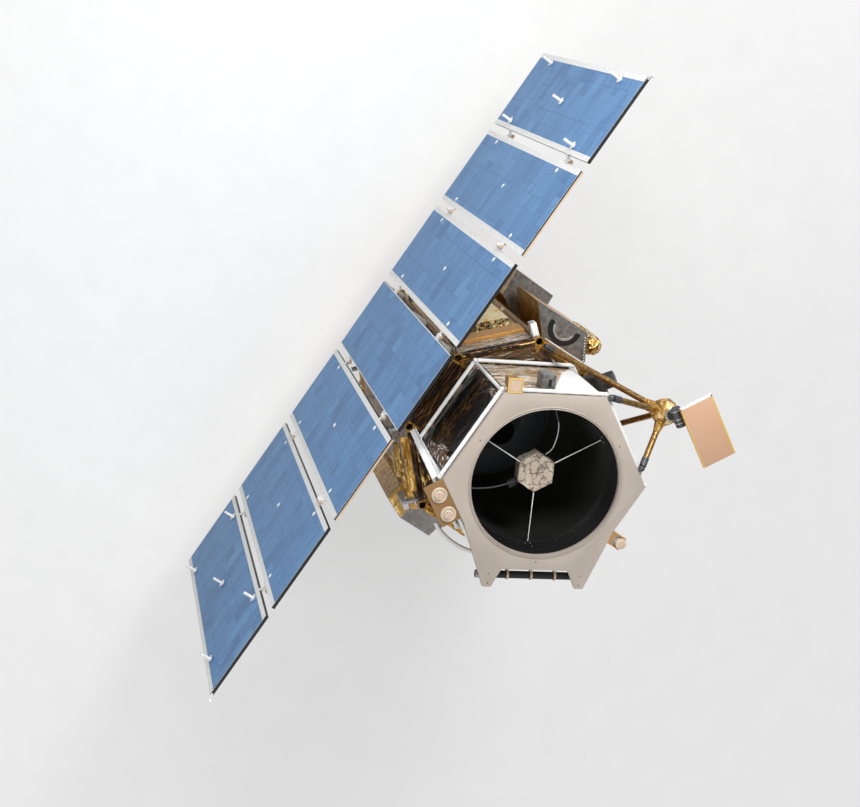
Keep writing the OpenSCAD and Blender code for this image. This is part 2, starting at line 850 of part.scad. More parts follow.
module truss_hub() color("gold")
    difference() {
        translate(hub_centre) sphere(r = truss_hub_r);
        rotate(boom_angle)
            translate([azimuth_reach, 0, azimuth_base_z]) cylinder(h = 40, r = drive_r + seat);
    }

module azimuth_drive() color("silver")
    rotate(boom_angle)
        translate([azimuth_reach, 0, azimuth_base_z])
            cylinder(h = azimuth_top_z - azimuth_base_z, r = drive_r);

yoke_far = 62;
yoke_near = 58;
yoke_gap = 0.3;

// Turns on the azimuth drive and carries the elevation drive across it
module gimbal_yoke() color("gray")
    rotate(boom_angle) {
        translate([azimuth_reach, 0, azimuth_top_z + yoke_gap])
            cylinder(h = 10, r = drive_r - 4);
        translate([elevation_reach, yoke_near, elevation_z])
            rotate([90, 0, 0]) cylinder(h = yoke_near + yoke_far, r = drive_r - 2);
        translate([azimuth_reach - 18, -24, azimuth_top_z + yoke_gap]) cube([44, 48, 22]);
    }

arm_t = 24;
antenna_start_y = -428;
antenna_near = 15;

// Rotor of the elevation drive, and the arm under the antenna panel
module antenna_arm() color("gray")
    rotate(boom_angle)
        translate([elevation_reach, -yoke_far - yoke_gap, elevation_z]) {
            rotate([90, 0, 0]) cylinder(h = arm_t, r = drive_r - 2);
            translate([0, -arm_t, 0]) cube([110, arm_t, 24]);
            translate([70, -arm_t, 0]) cube([40, arm_t, antenna_back_z - elevation_z]);
        }

module antenna_panel() color("tan")
    rotate(boom_angle)
        translate([elevation_reach + antenna_near, antenna_start_y, antenna_back_z])
            cube([antenna_w, antenna_l, antenna_t]);

// ---------------------------------------------------------------- nodes

separation_ring();
adapter_cone();
lower_deck();
corner_tubes();
side_walls();
deck_beams();
upper_deck();
propellant_tank();
thrusters();
radiator_panels();
front_plate();
aperture_lip();
shroud_panels();
shroud_posts();
shroud_frames();
telescope_barrel();
baffle_rings();
primary_mirror();
mirror_baffle();
spider_ring();
spider_vanes();
secondary_hub();
right_equipment_box();
right_radiator_box();
foil_canister();
left_equipment_box();
star_tracker();
sensor_bracket();
patch_antenna();
antenna_shelf();
domed_antennas();
omni_antenna();
torque_rod();
torque_rod_clamps();
handrail();
centre_panel();
array_brackets();
root_hinges();
hold_down_cups();
inner_panel_right();
inner_fittings_right();
middle_panel_right();
middle_fittings_right();
outer_panel_right();
outer_fittings_right();
inner_panel_left();
inner_fittings_left();
middle_panel_left();
middle_fittings_left();
outer_panel_left();
outer_fittings_left();
antenna_truss();
truss_fittings();
truss_hub();
azimuth_drive();
gimbal_yoke();
antenna_panel();
antenna_arm();
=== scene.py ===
"""Earth-imaging satellite: its looks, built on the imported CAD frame.

Metres, with +Z up along the telescope's axis.
"""

import json
import math
import random

import bmesh
import bpy
from bpy.props import FloatProperty, FloatVectorProperty, IntProperty, PointerProperty
from mathutils import Matrix, Vector, noise


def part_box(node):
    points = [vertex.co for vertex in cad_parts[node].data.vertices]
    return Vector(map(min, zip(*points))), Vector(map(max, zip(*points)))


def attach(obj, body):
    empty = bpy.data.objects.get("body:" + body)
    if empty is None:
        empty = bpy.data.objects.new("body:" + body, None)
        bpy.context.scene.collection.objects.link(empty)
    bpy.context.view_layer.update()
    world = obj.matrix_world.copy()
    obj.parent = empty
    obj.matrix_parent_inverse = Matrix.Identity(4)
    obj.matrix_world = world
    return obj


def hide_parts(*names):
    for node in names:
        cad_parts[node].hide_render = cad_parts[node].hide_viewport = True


bl_info = {
    "name": "Imaging Satellite",
    "version": (1, 0, 0),
    "blender": (4, 5, 0),
    "location": "View3D > Sidebar > Satellite",
    "description": "Builds the finishes and fine detail of an Earth-imaging satellite",
    "category": "Object",
}

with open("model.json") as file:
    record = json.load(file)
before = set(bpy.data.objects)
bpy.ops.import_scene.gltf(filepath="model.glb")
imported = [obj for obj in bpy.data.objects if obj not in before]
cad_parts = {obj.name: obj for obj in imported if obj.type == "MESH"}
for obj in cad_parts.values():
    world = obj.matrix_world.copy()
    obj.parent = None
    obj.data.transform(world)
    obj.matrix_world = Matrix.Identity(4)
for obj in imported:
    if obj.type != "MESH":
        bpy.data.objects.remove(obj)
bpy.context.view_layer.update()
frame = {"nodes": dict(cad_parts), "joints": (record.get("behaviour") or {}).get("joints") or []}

ROOT = "satellite_body"
PLATE_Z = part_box("front_plate")[1].z
DECK_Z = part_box("upper_deck")[1].z
WALL_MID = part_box("deck_beams")[1].x - 0.025
WALL_FACE = WALL_MID + 0.0125
SHROUD_CORNER = 0.735  # from the telescope's axis to a corner post
SHROUD_FACE = SHROUD_CORNER * math.cos(math.radians(30)) + 0.010
SHROUD_HALF = 0.345
TUBE_CIRCLE = 0.84  # from the telescope's axis to a corner tube
SOCKET_R = 0.0262
VANES = (90, 210, 330)
PANEL_MID_Z, HINGE_UP = 2.293, 0.91
CAP_MID_Z, CAP_UP, CAP_ACROSS = 2.265, 0.975, 0.298
BOOM = math.radians(-30)


# ---------------------------------------------------------------- nodes and colours


def linear(code, alpha=1.0):
    """The linear colour of an sRGB hex value such as '#C8A050'."""
    values = [int(code[i : i + 2], 16) / 255 for i in (1, 3, 5)]
    return [v / 12.92 if v <= 0.04045 else ((v + 0.055) / 1.055) ** 2.4 for v in values] + [alpha]


def as_hex(colour):
    """The sRGB hex value of a linear colour."""
    values = [12.92 * v if v <= 0.0031308 else 1.055 * v ** (1 / 2.4) - 0.055 for v in colour]
    return "#" + "".join(f"{round(255 * v):02X}" for v in values)


def add(tree, kind, inputs=None, stops=None, **settings):
    """Adds a shader node, with its settings, its ramp stops, and a value or a link for each input."""
    made = tree.nodes.new("ShaderNode" + kind)
    for key, value in settings.items():
        setattr(made, key, value)
    for position, code in stops or []:
        elements = made.color_ramp.elements
        if position == stops[0][0]:
            spot = elements[0]
        else:
            spot = elements[-1] if position == stops[-1][0] else elements.new(position)
        spot.position = position
        spot.color = linear(code)
    for key, value in (inputs or {}).items():
        if isinstance(value, bpy.types.NodeSocket):
            tree.links.new(value, made.inputs[key])
        else:
            made.inputs[key].default_value = value
    return made


def surface(name, roughness=0.5, metallic=0.0, **more):
    """A new material: returns it with its tree, its shader and the Object coordinates."""
    material = bpy.data.materials.new(name)
    material.use_nodes = True
    tree = material.node_tree
    shader = tree.nodes["Principled BSDF"]
    shader.inputs["Roughness"].default_value = roughness
    shader.inputs["Metallic"].default_value = metallic
    for key, value in more.items():
        shader.inputs[key.replace("_", " ")].default_value = value
    spot = add(tree, "TexCoord").outputs["Object"]
    return material, tree, shader, spot


def relief(tree, shader, height, distance, strength=1.0):
    """Raises the surface by a height pattern, to a depth in metres."""
    bump = add(tree, "Bump", {"Height": height, "Distance": distance, "Strength": strength})
    tree.links.new(bump.outputs["Normal"], shader.inputs["Normal"])


def coat(tree, shader, colour):
    """Gives the shader its colour."""
    tree.links.new(colour, shader.inputs["Base Color"])


def cloud(tree, spot, scale, detail, roughness=0.5):
    """A noise texture."""
    return add(tree, "TexNoise", {"Vector": spot, "Scale": scale, "Detail": detail, "Roughness": roughness})


def graded(tree, value, stops):
    """The colour at a value along a ramp."""
    return add(tree, "ValToRGB", {"Fac": value}, stops=stops).outputs["Color"]


def maths(tree, operation, first, second):
    """A sum, product or comparison of two values."""
    return add(tree, "Math", {0: first, 1: second}, operation=operation).outputs[0]


def blend(tree, factor, first, second):
    """A mix of two colours."""
    return add(tree, "Mix", {"Factor": factor, 6: first, 7: second}, data_type="RGBA").outputs[2]


def between(tree, factor, first, second):
    """A mix of two values."""
    return add(tree, "Mix", {"Factor": factor, 2: first, 3: second}, data_type="FLOAT").outputs[0]


def pushed(tree, spot, warp, amount):
    """Coordinates pushed about by a noise."""
    shift = add(tree, "VectorMath", {0: warp.outputs["Color"], 1: (0.5, 0.5, 0.5)}, operation="SUBTRACT")
    push = add(tree, "VectorMath", {0: shift.outputs[0], "Scale": amount}, operation="SCALE")
    return add(tree, "VectorMath", {0: spot, 1: push.outputs[0]}, operation="ADD").outputs[0]


def painted(name, code, shade, grain_mm=6.0, roughness=0.6, metallic=0.0, tone=0.5):
    """Sprayed paint or thin film on flat sheet: a broad drift of tone and a fine orange peel."""
    material, tree, shader, spot = surface(name, roughness, metallic)
    drift = cloud(tree, spot, 2.6, 5.0, tone)
    fine = cloud(tree, spot, 1000 / grain_mm, 2.0)
    both = maths(tree, "ADD", drift.outputs["Fac"], fine.outputs["Fac"])
    half = maths(tree, "MULTIPLY", both, 0.5)
    coat(tree, shader, graded(tree, half, [(0.36, shade), (0.62, code)]))
    relief(tree, shader, fine.outputs["Fac"], 0.0003)
    return material


def foil(name, stops, facet_mm=55.0, stretch=(1.0, 1.0, 1.0), roughness=0.3, metallic=0.75, crease=0.004):
    """Multi-layer insulation: aluminised film, crumpled by hand into facets.

    Each facet's colour is a painted reflection, so neighbours jump from bright to dark as if each mirrored
    another part of the room.
    """
    material, tree, shader, spot = surface(name, roughness, metallic)
    place = add(tree, "Mapping", {"Vector": spot, "Scale": stretch}).outputs[0]
    warp = cloud(tree, place, 420 / facet_mm, 4.0)
    bent = pushed(tree, place, warp, facet_mm / 420)
    large = add(tree, "TexVoronoi", {"Vector": bent, "Scale": 1000 / facet_mm})
    small = add(tree, "TexVoronoi", {"Vector": bent, "Scale": 2600 / facet_mm})
    coarse = add(tree, "SeparateColor", {"Color": large.outputs["Color"]})
    middle = add(tree, "SeparateColor", {"Color": small.outputs["Color"]})
    mixed = between(tree, 0.42, coarse.outputs[0], middle.outputs[1])
    drift = cloud(tree, place, 5.0, 3.0)
    tone = between(tree, 0.30, mixed, drift.outputs["Fac"])
    # Painted reflections: each facet takes a bright or a dark colour from the ramp.
    coat(tree, shader, graded(tree, tone, stops))
    folds = between(tree, 0.3, large.outputs["Distance"], small.outputs["Distance"])
    relief(tree, shader, folds, crease)
    return material


def streaked(name, stops, length_mm=160.0, width_mm=14.0, roughness=0.3, metallic=0.55, bend=0.035,
             crease=0.005):
    """Blanket film drawn tight over an edge: long narrow wrinkles along the sheet, each its own colour,
    partly the film's and partly a painted reflection.
    """
    material, tree, shader, _ = surface(name, roughness, metallic)
    sheet = add(tree, "UVMap", uv_map="sheet").outputs["UV"]
    warp = cloud(tree, sheet, 5.0, 3.0)
    bent = pushed(tree, sheet, warp, 2.0 * bend)
    place = add(tree, "Mapping",
                {"Vector": bent, "Scale": (1000 / length_mm, 1000 / width_mm, 1.0)}).outputs[0]
    wrinkle = cloud(tree, place, 1.0, 3.0, 0.55)
    drift = cloud(tree, sheet, 4.0, 2.0)
    tone = between(tree, 0.22, wrinkle.outputs["Fac"], drift.outputs["Fac"])
    # Painted reflections: wrinkles run from the ramp's near-black stops to its near-white highlights.
    coat(tree, shader, graded(tree, tone, stops))
    relief(tree, shader, wrinkle.outputs["Fac"], crease)
    return material


# ---------------------------------------------------------------- materials


def solar_cells():
    """Silicon cells under cover glass: rows 44 mm deep, strings of unlike blue, dark gaps, glassy sheen.

    The gaps are drawn 12 mm wide, since their real 1 mm would be too fine to show.
    """
    material, tree, shader, spot = surface("covered_silicon_cells", 0.45, 0.0, Coat_Weight=0.05)
    shader.inputs["Coat Roughness"].default_value = 0.12
    shader.inputs["Specular IOR Level"].default_value = 0.25
    axes = add(tree, "SeparateXYZ", {"Vector": spot})
    flat = add(tree, "CombineXYZ", {"X": axes.outputs["X"], "Y": axes.outputs["Z"]}).outputs[0]
    cells = add(tree, "TexBrick", {"Vector": flat, "Scale": 1.0, "Brick Width": 0.330, "Row Height": 0.044,
                                   "Mortar Size": 0.0060, "Mortar Smooth": 0.6, "Bias": 0.0,
                                   "Color1": linear("#4680BA"), "Color2": linear("#629AD0"),
                                   "Mortar": linear("#245389")}, offset=0.37, offset_frequency=3)
    strings = add(tree, "TexBrick", {"Vector": flat, "Scale": 1.0, "Brick Width": 0.262,
                                     "Row Height": 0.180, "Mortar Size": 0.003, "Mortar Smooth": 0.4,
                                     "Bias": 0.0, "Color1": linear("#3C6EA3"), "Color2": linear("#6398CC"),
                                     "Mortar": linear("#30608F")}, offset=0.41, squash=1.3,
                  squash_frequency=3)
    dashes = add(tree, "TexBrick", {"Vector": flat, "Scale": 1.0, "Brick Width": 0.31, "Row Height": 0.015,
                                    "Mortar Size": 0.0, "Bias": -0.82, "Color1": linear("#5B8DBE"),
                                    "Color2": linear("#17365C")}, offset=0.63, offset_frequency=2)
    patches = cloud(tree, flat, 2.4, 2.0)
    where = graded(tree, patches.outputs["Fac"], [(0.42, "#707070"), (0.56, "#FFFFFF")])
    ruled = maths(tree, "MULTIPLY", where, 0.92)
    base = blend(tree, ruled, strings.outputs["Color"], cells.outputs["Color"])
    strength = maths(tree, "MULTIPLY", where, 0.35)
    coat(tree, shader, blend(tree, strength, base, dashes.outputs["Color"]))
    tilt = between(tree, 0.3, cells.outputs["Fac"], strings.outputs["Fac"])
    relief(tree, shader, tilt, 0.0004, 0.6)
    return material


def panel_board():
    """Solar panel board: white film on the cell side, woven carbon on the back and edges."""
    material, tree, shader, spot = surface("carbon_board_white_film", 0.45)
    face = add(tree, "SeparateXYZ", {"Vector": add(tree, "NewGeometry").outputs["True Normal"]})
    front = maths(tree, "GREATER_THAN", face.outputs["Y"], 0.5)
    weave = add(tree, "TexChecker",
                {"Vector": spot, "Scale": 160.0, "Color1": linear("#101112"), "Color2": linear("#1E2022")})
    film = cloud(tree, spot, 30.0, 3.0)
    white = graded(tree, film.outputs["Fac"], [(0.3, "#E6E7E6"), (0.6, "#F7F8F7")])
    coat(tree, shader, blend(tree, front, weave.outputs["Color"], white))
    relief(tree, shader, weave.outputs["Fac"], 0.0002)
    return material


def vane_paint():
    """Support vane: bright front edge, with both sides painted near-black as a painted shade."""
    material, tree, shader, spot = surface("vane_white_edge_painted_shade_sides", 0.5)
    face = add(tree, "SeparateXYZ", {"Vector": add(tree, "NewGeometry").outputs["True Normal"]})
    front = maths(tree, "GREATER_THAN", face.outputs["Z"], 0.5)
    wear = cloud(tree, spot, 60.0, 2.0)
    edge = graded(tree, wear.outputs["Fac"], [(0.3, "#D8D8D6"), (0.6, "#FBFBFA")])
    # Painted shade: the sides are near-black.
    side = graded(tree, wear.outputs["Fac"], [(0.3, "#0B0B0B"), (0.7, "#181817")])
    both = blend(tree, front, side, edge)
    coat(tree, shader, both)
    return material


def baffle_paint():
    """Matt black inside the telescope, with painted light that makes it paler further in, and painted shade
    that darkens it towards the -x side.
    """
    material, tree, shader, spot = surface("matt_black_baffle_painted_light", 0.85)
    place = add(tree, "SeparateXYZ", {"Vector": spot})
    # Painted light: the paint turns paler further in, where little real light reaches.
    depth = add(tree, "MapRange", {"Value": place.outputs["Z"], "From Min": 4.25, "From Max": 2.3})
    ramp = graded(tree, depth.outputs[0],
                  [(0.0, "#2C2C2C"), (0.2, "#363635"), (0.5, "#565653"), (1.0, "#A8A8A2")])
    # Painted shade: darker towards the -x side.
    painted_shade_side = add(tree, "MapRange",
                {"Value": place.outputs["X"], "From Min": -0.5, "From Max": 0.4, "To Min": 0.3})
    coat(tree, shader, blend(tree, painted_shade_side.outputs[0], linear("#0C0C0C"), ramp))
    shader.inputs["Specular IOR Level"].default_value = 0.15
    return material


def brushed(name, code, shade, roughness=0.35, direction=(40.0, 40.0, 2.0)):
    """Machined or drawn metal: fine tool lines along one direction."""
    material, tree, shader, spot = surface(name, roughness, 0.85)
    place = add(tree, "Mapping", {"Vector": spot, "Scale": direction}).outputs[0]
    lines = cloud(tree, place, 6.0, 6.0, 0.7)
    coat(tree, shader, graded(tree, lines.outputs["Fac"], [(0.35, shade), (0.65, code)]))
    relief(tree, shader, lines.outputs["Fac"], 0.0003)
    return material


def veined_foil(name, ground, vein, glow, cell_mm=90.0, width=0.05, stretch=(1, 1, 1), share=0.52,
                sheet=False, plain=None):
    """Dull insulation film with thin lines of a vein colour along its creases: amber on the black film, and
    on the tan hub film dark lines of painted shade.

    It is creased less above the first height of plain, and fully below the second.
    """
    material, tree, shader, spot = surface(name, 0.4, 0.0)
    height = add(tree, "SeparateXYZ", {"Vector": spot}).outputs["Z"]
    if sheet:
        spot = add(tree, "UVMap", uv_map="sheet").outputs["UV"]
    place = add(tree, "Mapping", {"Vector": spot, "Scale": stretch}).outputs[0]
    warp = cloud(tree, place, 7.0, 6.0, 0.65)
    bent = pushed(tree, place, warp, 0.22)
    edges = add(tree, "TexVoronoi", {"Vector": bent, "Scale": 1000 / cell_mm}, feature="DISTANCE_TO_EDGE")
    thin = graded(tree, edges.outputs["Distance"], [(0.0, "#FFFFFF"), (width, "#000000")])
    where = cloud(tree, place, 4.2, 4.0)
    mask = graded(tree, where.outputs["Fac"], [(share - 0.05, "#000000"), (share + 0.06, "#FFFFFF")])
    amount = maths(tree, "MULTIPLY", thin, mask)
    if plain:
        worked = add(tree, "MapRange",
                     {"Value": height, "From Min": plain[0], "From Max": plain[1], "To Min": 0.06})
        amount = maths(tree, "MULTIPLY", amount, worked.outputs[0])
    ground_mix = graded(tree, warp.outputs["Fac"], [(0.5, ground), (0.72, glow)])
    # Crease lines in the vein colour; the dark ones on the tan hub film are painted shade.
    coat(tree, shader, blend(tree, amount, ground_mix, linear(vein)))
    relief(tree, shader, edges.outputs["Distance"], 0.004)
    return material


# Foil ramps: the gold, amber, brown and silver are the films' own colours; near-white stops are painted
# highlights and near-black stops painted dark reflections.
GOLD = [(0.30, "#241505"), (0.38, "#7E501B"), (0.45, "#C08A38"), (0.53, "#E0B25A"), (0.62, "#F5D68C"),
        (0.72, "#FFF6CF")]
CREASED = [(0.35, "#33210D"), (0.40, "#B88536"), (0.47, "#E2B560"), (0.56, "#F3D088"), (0.66, "#FFF6D2")]
# AMBER is darkened for the wall at 135 degrees, a painted shade in the gap there.
AMBER = [(0.30, "#120B04"), (0.42, "#3A220B"), (0.52, "#7A4C18"), (0.62, "#B5792F"), (0.74, "#E3B466")]
WALL = [(0.22, "#946729"), (0.38, "#AE7D33"), (0.50, "#C08E3F"), (0.62, "#CDA04E"), (0.80, "#E4C078")]
HONEY = [(0.22, "#774F21"), (0.38, "#916329"), (0.50, "#A5732F"), (0.62, "#B58139"), (0.80, "#D0A35C")]
DARK = [(0.38, "#0B0907"), (0.48, "#21140A"), (0.56, "#43290F"), (0.62, "#7A5020"), (0.67, "#C8975A"),
        (0.71, "#F0E6D6")]
MIXED = [(0.37, "#16110C"), (0.42, "#7A5628"), (0.455, "#D2A868"), (0.485, "#40352A"), (0.515, "#EDE4D2"),
         (0.545, "#A77B3F"), (0.58, "#FFFFFF"), (0.62, "#8F8272"), (0.67, "#FFFFFF")]
DECK = [(0.37, "#0A0806"), (0.44, "#2B1D10"), (0.485, "#7A5428"), (0.51, "#17120E"), (0.55, "#6E5128"),
        (0.585, "#1E1812"), (0.615, "#C9BBA4"), (0.68, "#F4F0EA")]
SILVER = [(0.36, "#0C0A08"), (0.43, "#2A2017"), (0.48, "#93683A"), (0.52, "#3A332B"), (0.56, "#C9CACB"),
          (0.64, "#FFFFFF")]
# Gold foil coloured near-white yellow: a painted highlight on the wall beside the right box.
PAINTED_HIGHLIGHT_GOLD = [(0.25, "#F0C262"), (0.38, "#FCDD8A"), (0.52, "#FFEFA8"), (0.8, "#FFFBD2")]
TAN_FOIL = [(0.25, "#6B5F52"), (0.42, "#B8A996"), (0.6, "#D9CCBA"), (0.8, "#F1E8DA")]


def make_materials(colours):
    """Every finish, by the name that the pieces use."""
    beige, peach = as_hex(colours.plate), as_hex(colours.antenna)
    return {
        "cells": solar_cells(),
        "board": panel_board(),
        "white": painted("white_thermal_paint", "#F6F6F4", "#E2E3E2", 5.0, 0.5),
        "white_film": painted("white_beta_cloth", "#FFFFFF", "#EEF0F1", 3.0, 0.55),
        "plate": painted("beige_thermal_paint", beige, "#ABA095", 2.0, 0.62),
        "tan_tape": painted("tan_polyimide_tape", "#D2BAA2", "#BDA288", 6.0, 0.5),
        "tan_face": painted("peach_radome_film", peach, "#C99E7F", 4.0, 0.6),
        "cream": painted("cream_radome_paint", "#D8C8B7", "#C6B39F", 4.0, 0.5),
        "black": painted("black_optical_paint", "#1B1B1B", "#0C0C0C", 8.0, 0.55),
        "carbon": painted("carbon_composite", "#0D0D0E", "#060606", 3.0, 0.6),
        "charcoal": painted("charcoal_anodised", "#3E3E3D", "#2E2E2D", 3.0, 0.5, 0.2),
        "grey": painted("grey_radiator_mirror", "#8A8886", "#545350", 30.0, 0.35, 0.3),
        "pale_grey": painted("pale_grey_mirror_tiles", "#ACAAA7", "#858380", 30.0, 0.35, 0.2),
        "radiator": painted("silvered_radiator_tiles", "#C9CBCC", "#9FA2A4", 40.0, 0.25, 0.5),
        "bronze": painted("gold_anodised_plate", "#9B774A", "#876640", 2.0, 0.5, 0.25),
        "aluminium": brushed("machined_aluminium", "#D5D6D8", "#9A9C9F"),
        "dull_metal": brushed("dull_titanium", "#76767A", "#434345", 0.55),
        "strut": brushed("gold_tape_on_tube", "#B8935A", "#5A4226", 0.42, (9.0, 9.0, 9.0)),
        "gold": foil("gold_foil_blanket", WALL, 30.0, crease=0.006),
        "painted_highlight_gold": foil("gold_foil_painted_highlight", PAINTED_HIGHLIGHT_GOLD, 90.0, metallic=0.15, crease=0.002),
        "amber": foil("amber_foil_blanket", HONEY, 36.0, (0.6, 0.6, 1.0), crease=0.006),
        "fine_gold": foil("finely_crushed_gold_foil", GOLD, 24.0, crease=0.006),
        "crumpled": foil("tan_crumpled_foil", TAN_FOIL, 60.0, metallic=0.25, roughness=0.45),
        "black_foil": veined_foil("black_foil_gold_creases", "#020202", "#CE8F45", "#0B0704", 60.0, 0.028,
                                  (0.34, 1.0, 1.0), 0.50, True, (4.05, 3.70)),
        "brown_foil": foil("brown_foil_blanket", DARK, 60.0, (0.5, 1.0, 1.0)),
        "brown_streaks": streaked("brown_foil_wrinkled", DARK, 170.0, 13.0),
        "mixed_streaks": streaked("silver_gold_foil_wrinkled", MIXED, 190.0, 24.0, metallic=0.1),
        "deck_streaks": streaked("dark_silver_foil_wrinkled", DECK, 180.0, 20.0, metallic=0.2),
        # Darkened amber for the wall at 135 degrees: painted shade.
        "amber_streaks": streaked("amber_foil_wrinkled", AMBER, 150.0, 16.0),
        "gold_streaks": streaked("gold_foil_wrinkled", GOLD, 170.0, 18.0, metallic=0.3),
        "creased_gold": streaked("gold_foil_dark_creases", CREASED, 210.0, 22.0, metallic=0.35),
        "silver_streaks": streaked("silver_black_foil_wrinkled", SILVER, 90.0, 14.0, metallic=0.3),
        "hub_gold": foil("gold_foil_taped_facets", [(0.25, "#80602E"), (0.42, "#B58A4A"), (0.56, "#D2AA66"),
                                                    (0.70, "#EDD6A0")], 95.0, roughness=0.42, metallic=0.45,
                         crease=0.003),
        "creased_tape": painted("bright_gold_edging_tape", "#F0CB80", "#8E6228", 9.0, 0.4, 0.3, 0.9),
        "wrap_gold": foil("pale_gold_tube_wrap", CREASED, 70.0, metallic=0.3, crease=0.003),
        "gold_tape": painted("flat_gold_tape", "#D29C52", "#B98440", 30.0, 0.45, 0.25),
        "liner": baffle_paint(),
        # Dark crease lines: painted shade.
        "hub_film": veined_foil("tan_foil_painted_shade_creases", "#B8AA99", "#15110D", "#D6C9B8", 78.0, 0.075,
                                (1, 1, 1), 0.31),
        "yellow_edge": painted("yellow_gold_tape", "#F2D07E", "#DDB25A", 6.0, 0.4, 0.3),
        "vane": vane_paint(),
        "mirror": painted("polished_mirror_glass", "#8A8E92", "#7C8084", 60.0, 0.22, 0.7),
    }


# ---------------------------------------------------------------- mesh helpers


def turned(angle, move=(0, 0, 0)):
    """The place of a piece drawn in a frame whose first axis points outwards at an angle in degrees."""
    return Matrix.Rotation(math.radians(angle), 4, "Z") @ Matrix.Translation(move)


def spun(spot, angle):
    """The place of a piece at a spot, turned about the vertical by an angle in degrees."""
    return Matrix.Translation(spot) @ Matrix.Rotation(math.radians(angle), 4, "Z")


def band(inner, outer, low, high):
    """The section of a plain ring, for lathe."""
    return [(inner, low), (inner, high), (outer, high), (outer, low), (inner, low)]


def block(bm, low, high, place=Matrix.Identity(4), soft=0.0, segments=2):
    """A box between two corners, with its edges rounded."""
    low, high = Vector(low), Vector(high)
    size = high - low
    made = bmesh.ops.create_cube(bm, size=1.0)["verts"]
    bmesh.ops.scale(bm, vec=size, verts=made)
    bmesh.ops.translate(bm, vec=(low + high) / 2, verts=made)
    if soft:
        edges = list({e for v in made for e in v.link_edges})
        faces = bmesh.ops.bevel(bm, geom=edges, offset=soft, segments=segments, affect="EDGES", profile=0.5,
                                material=-1)["faces"]
        made = list({v for f in faces for v in f.verts} | {v for v in made if v.is_valid})
        made = connected(made)
    bmesh.ops.transform(bm, matrix=place, verts=made)
    return made


def connected(verts):
    """Every vertex joined to the given ones."""
    found, front = set(verts), list(verts)
    while front:
        for edge in front.pop().link_edges:
            for v in edge.verts:
                if v not in found:
                    found.add(v)
                    front.append(v)
    return list(found)


def rod(bm, start, end, radius, end_radius=None, segments=24):
    """A round bar or cone between two points."""
    start, end = Vector(start), Vector(end)
    run = end - start
    place = Matrix.Translation((start + end) / 2) @ run.to_track_quat("Z", "Y").to_matrix().to_4x4()
    return bmesh.ops.create_cone(bm, cap_ends=True, segments=segments, radius1=radius,
                                 radius2=radius if end_radius is None else end_radius, depth=run.length,
                                 matrix=place)["verts"]


def lathe(bm, profile, centre=(0, 0, 0), place=Matrix.Identity(4), steps=64, sweep=360.0):
    """Spins a line of (radius, height) points about a vertical axis."""
    verts = [bm.verts.new((r, 0, h)) for r, h in profile]
    edges = [bm.edges.new(pair) for pair in zip(verts, verts[1:])]
    bmesh.ops.spin(bm, geom=verts + edges, cent=(0, 0, 0), axis=(0, 0, 1), dvec=(0, 0, 0),
                   angle=math.radians(sweep), steps=steps, use_merge=sweep == 360.0)
    made = connected(verts)
    bmesh.ops.remove_doubles(bm, verts=made, dist=1e-6)
    made = [v for v in made if v.is_valid]
    bmesh.ops.transform(bm, matrix=place @ Matrix.Translation(centre), verts=made)
    return made


def crumple_height(point, scale, seed):
    """Height of creased film at a point, from 0 to 1: flat facets that meet in sharp folds."""
    spot = Vector(point) * scale + Vector((seed, seed * 1.7, seed * 0.3))
    broad = 1.0 - abs(noise.noise(spot)) * 2.4
    fine = 1.0 - abs(noise.noise(spot * 2.6 + Vector((7.0, 3.0, 5.0)))) * 2.4
    return min(1.0, max(0.0, 0.68 * broad + 0.32 * fine))


LIFT = 0.0015  # how far a blanket stands off the wall behind it, in metres


def film(bm, corners, step=0.02, depth=0.01, scale=9.0, seed=0.0, skirt=0.004, fold=1.0):
    """A crumpled sheet between four corners (in turn), with its rim turned in to the surface below.

    A fold below 1 draws the creases out along the first edge.
    """
    a, b, c, d = (Vector(p) for p in corners)
    across = max(2, round(max((b - a).length, (c - d).length) / step))
    along = max(2, round(max((d - a).length, (c - b).length) / step))
    normal = (b - a).cross(d - a).normalized()
    right = (b - a).normalized()
    made = bmesh.ops.create_grid(bm, x_segments=across, y_segments=along, size=0.5)["verts"]
    for v in made:
        s, t = v.co.x + 0.5, v.co.y + 0.5
        spot = a.lerp(b, s).lerp(d.lerp(c, s), t)
        rim = min(1.0, 8 * min(s, 1 - s, t, 1 - t) + 0.15)
        grain = spot - right * (spot - a).dot(right) * (1 - fold)
        v.co = spot + normal * (LIFT + depth * rim * crumple_height(grain, scale, seed))
    rim_edges = list({e for v in made for e in v.link_edges if e.is_boundary})
    down = bmesh.ops.extrude_edge_only(bm, edges=rim_edges)["geom"]
    bmesh.ops.translate(bm, vec=-normal * skirt,
                        verts=[g for g in down if isinstance(g, bmesh.types.BMVert)])
    sheet = bm.loops.layers.uv.get("sheet") or bm.loops.layers.uv.new("sheet")
    up = normal.cross(right)
    for face in {f for v in made for f in v.link_faces}:
        for corner in face.loops:
            move = corner.vert.co - a
            corner[sheet].uv = (move.dot(right) + seed, move.dot(up) + seed)
    return made


def finish_piece(name, bm, finish, body=ROOT, smooth=False, place=None):
    """Turns a bmesh into a piece that rides on a body, at a place."""
    if place:
        bmesh.ops.transform(bm, matrix=place, verts=bm.verts)
    bmesh.ops.recalc_face_normals(bm, faces=bm.faces)
    for face in bm.faces:
        face.smooth = smooth
    mesh = bpy.data.meshes.new(name)
    bm.to_mesh(mesh)
    bm.free()
    made = bpy.data.objects.new(name, mesh)
    bpy.context.scene.collection.objects.link(made)
    mesh.materials.append(FINISH[finish])
    if smooth:
        mesh.set_sharp_from_angle(angle=math.radians(35))
    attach(made, body)
    return made


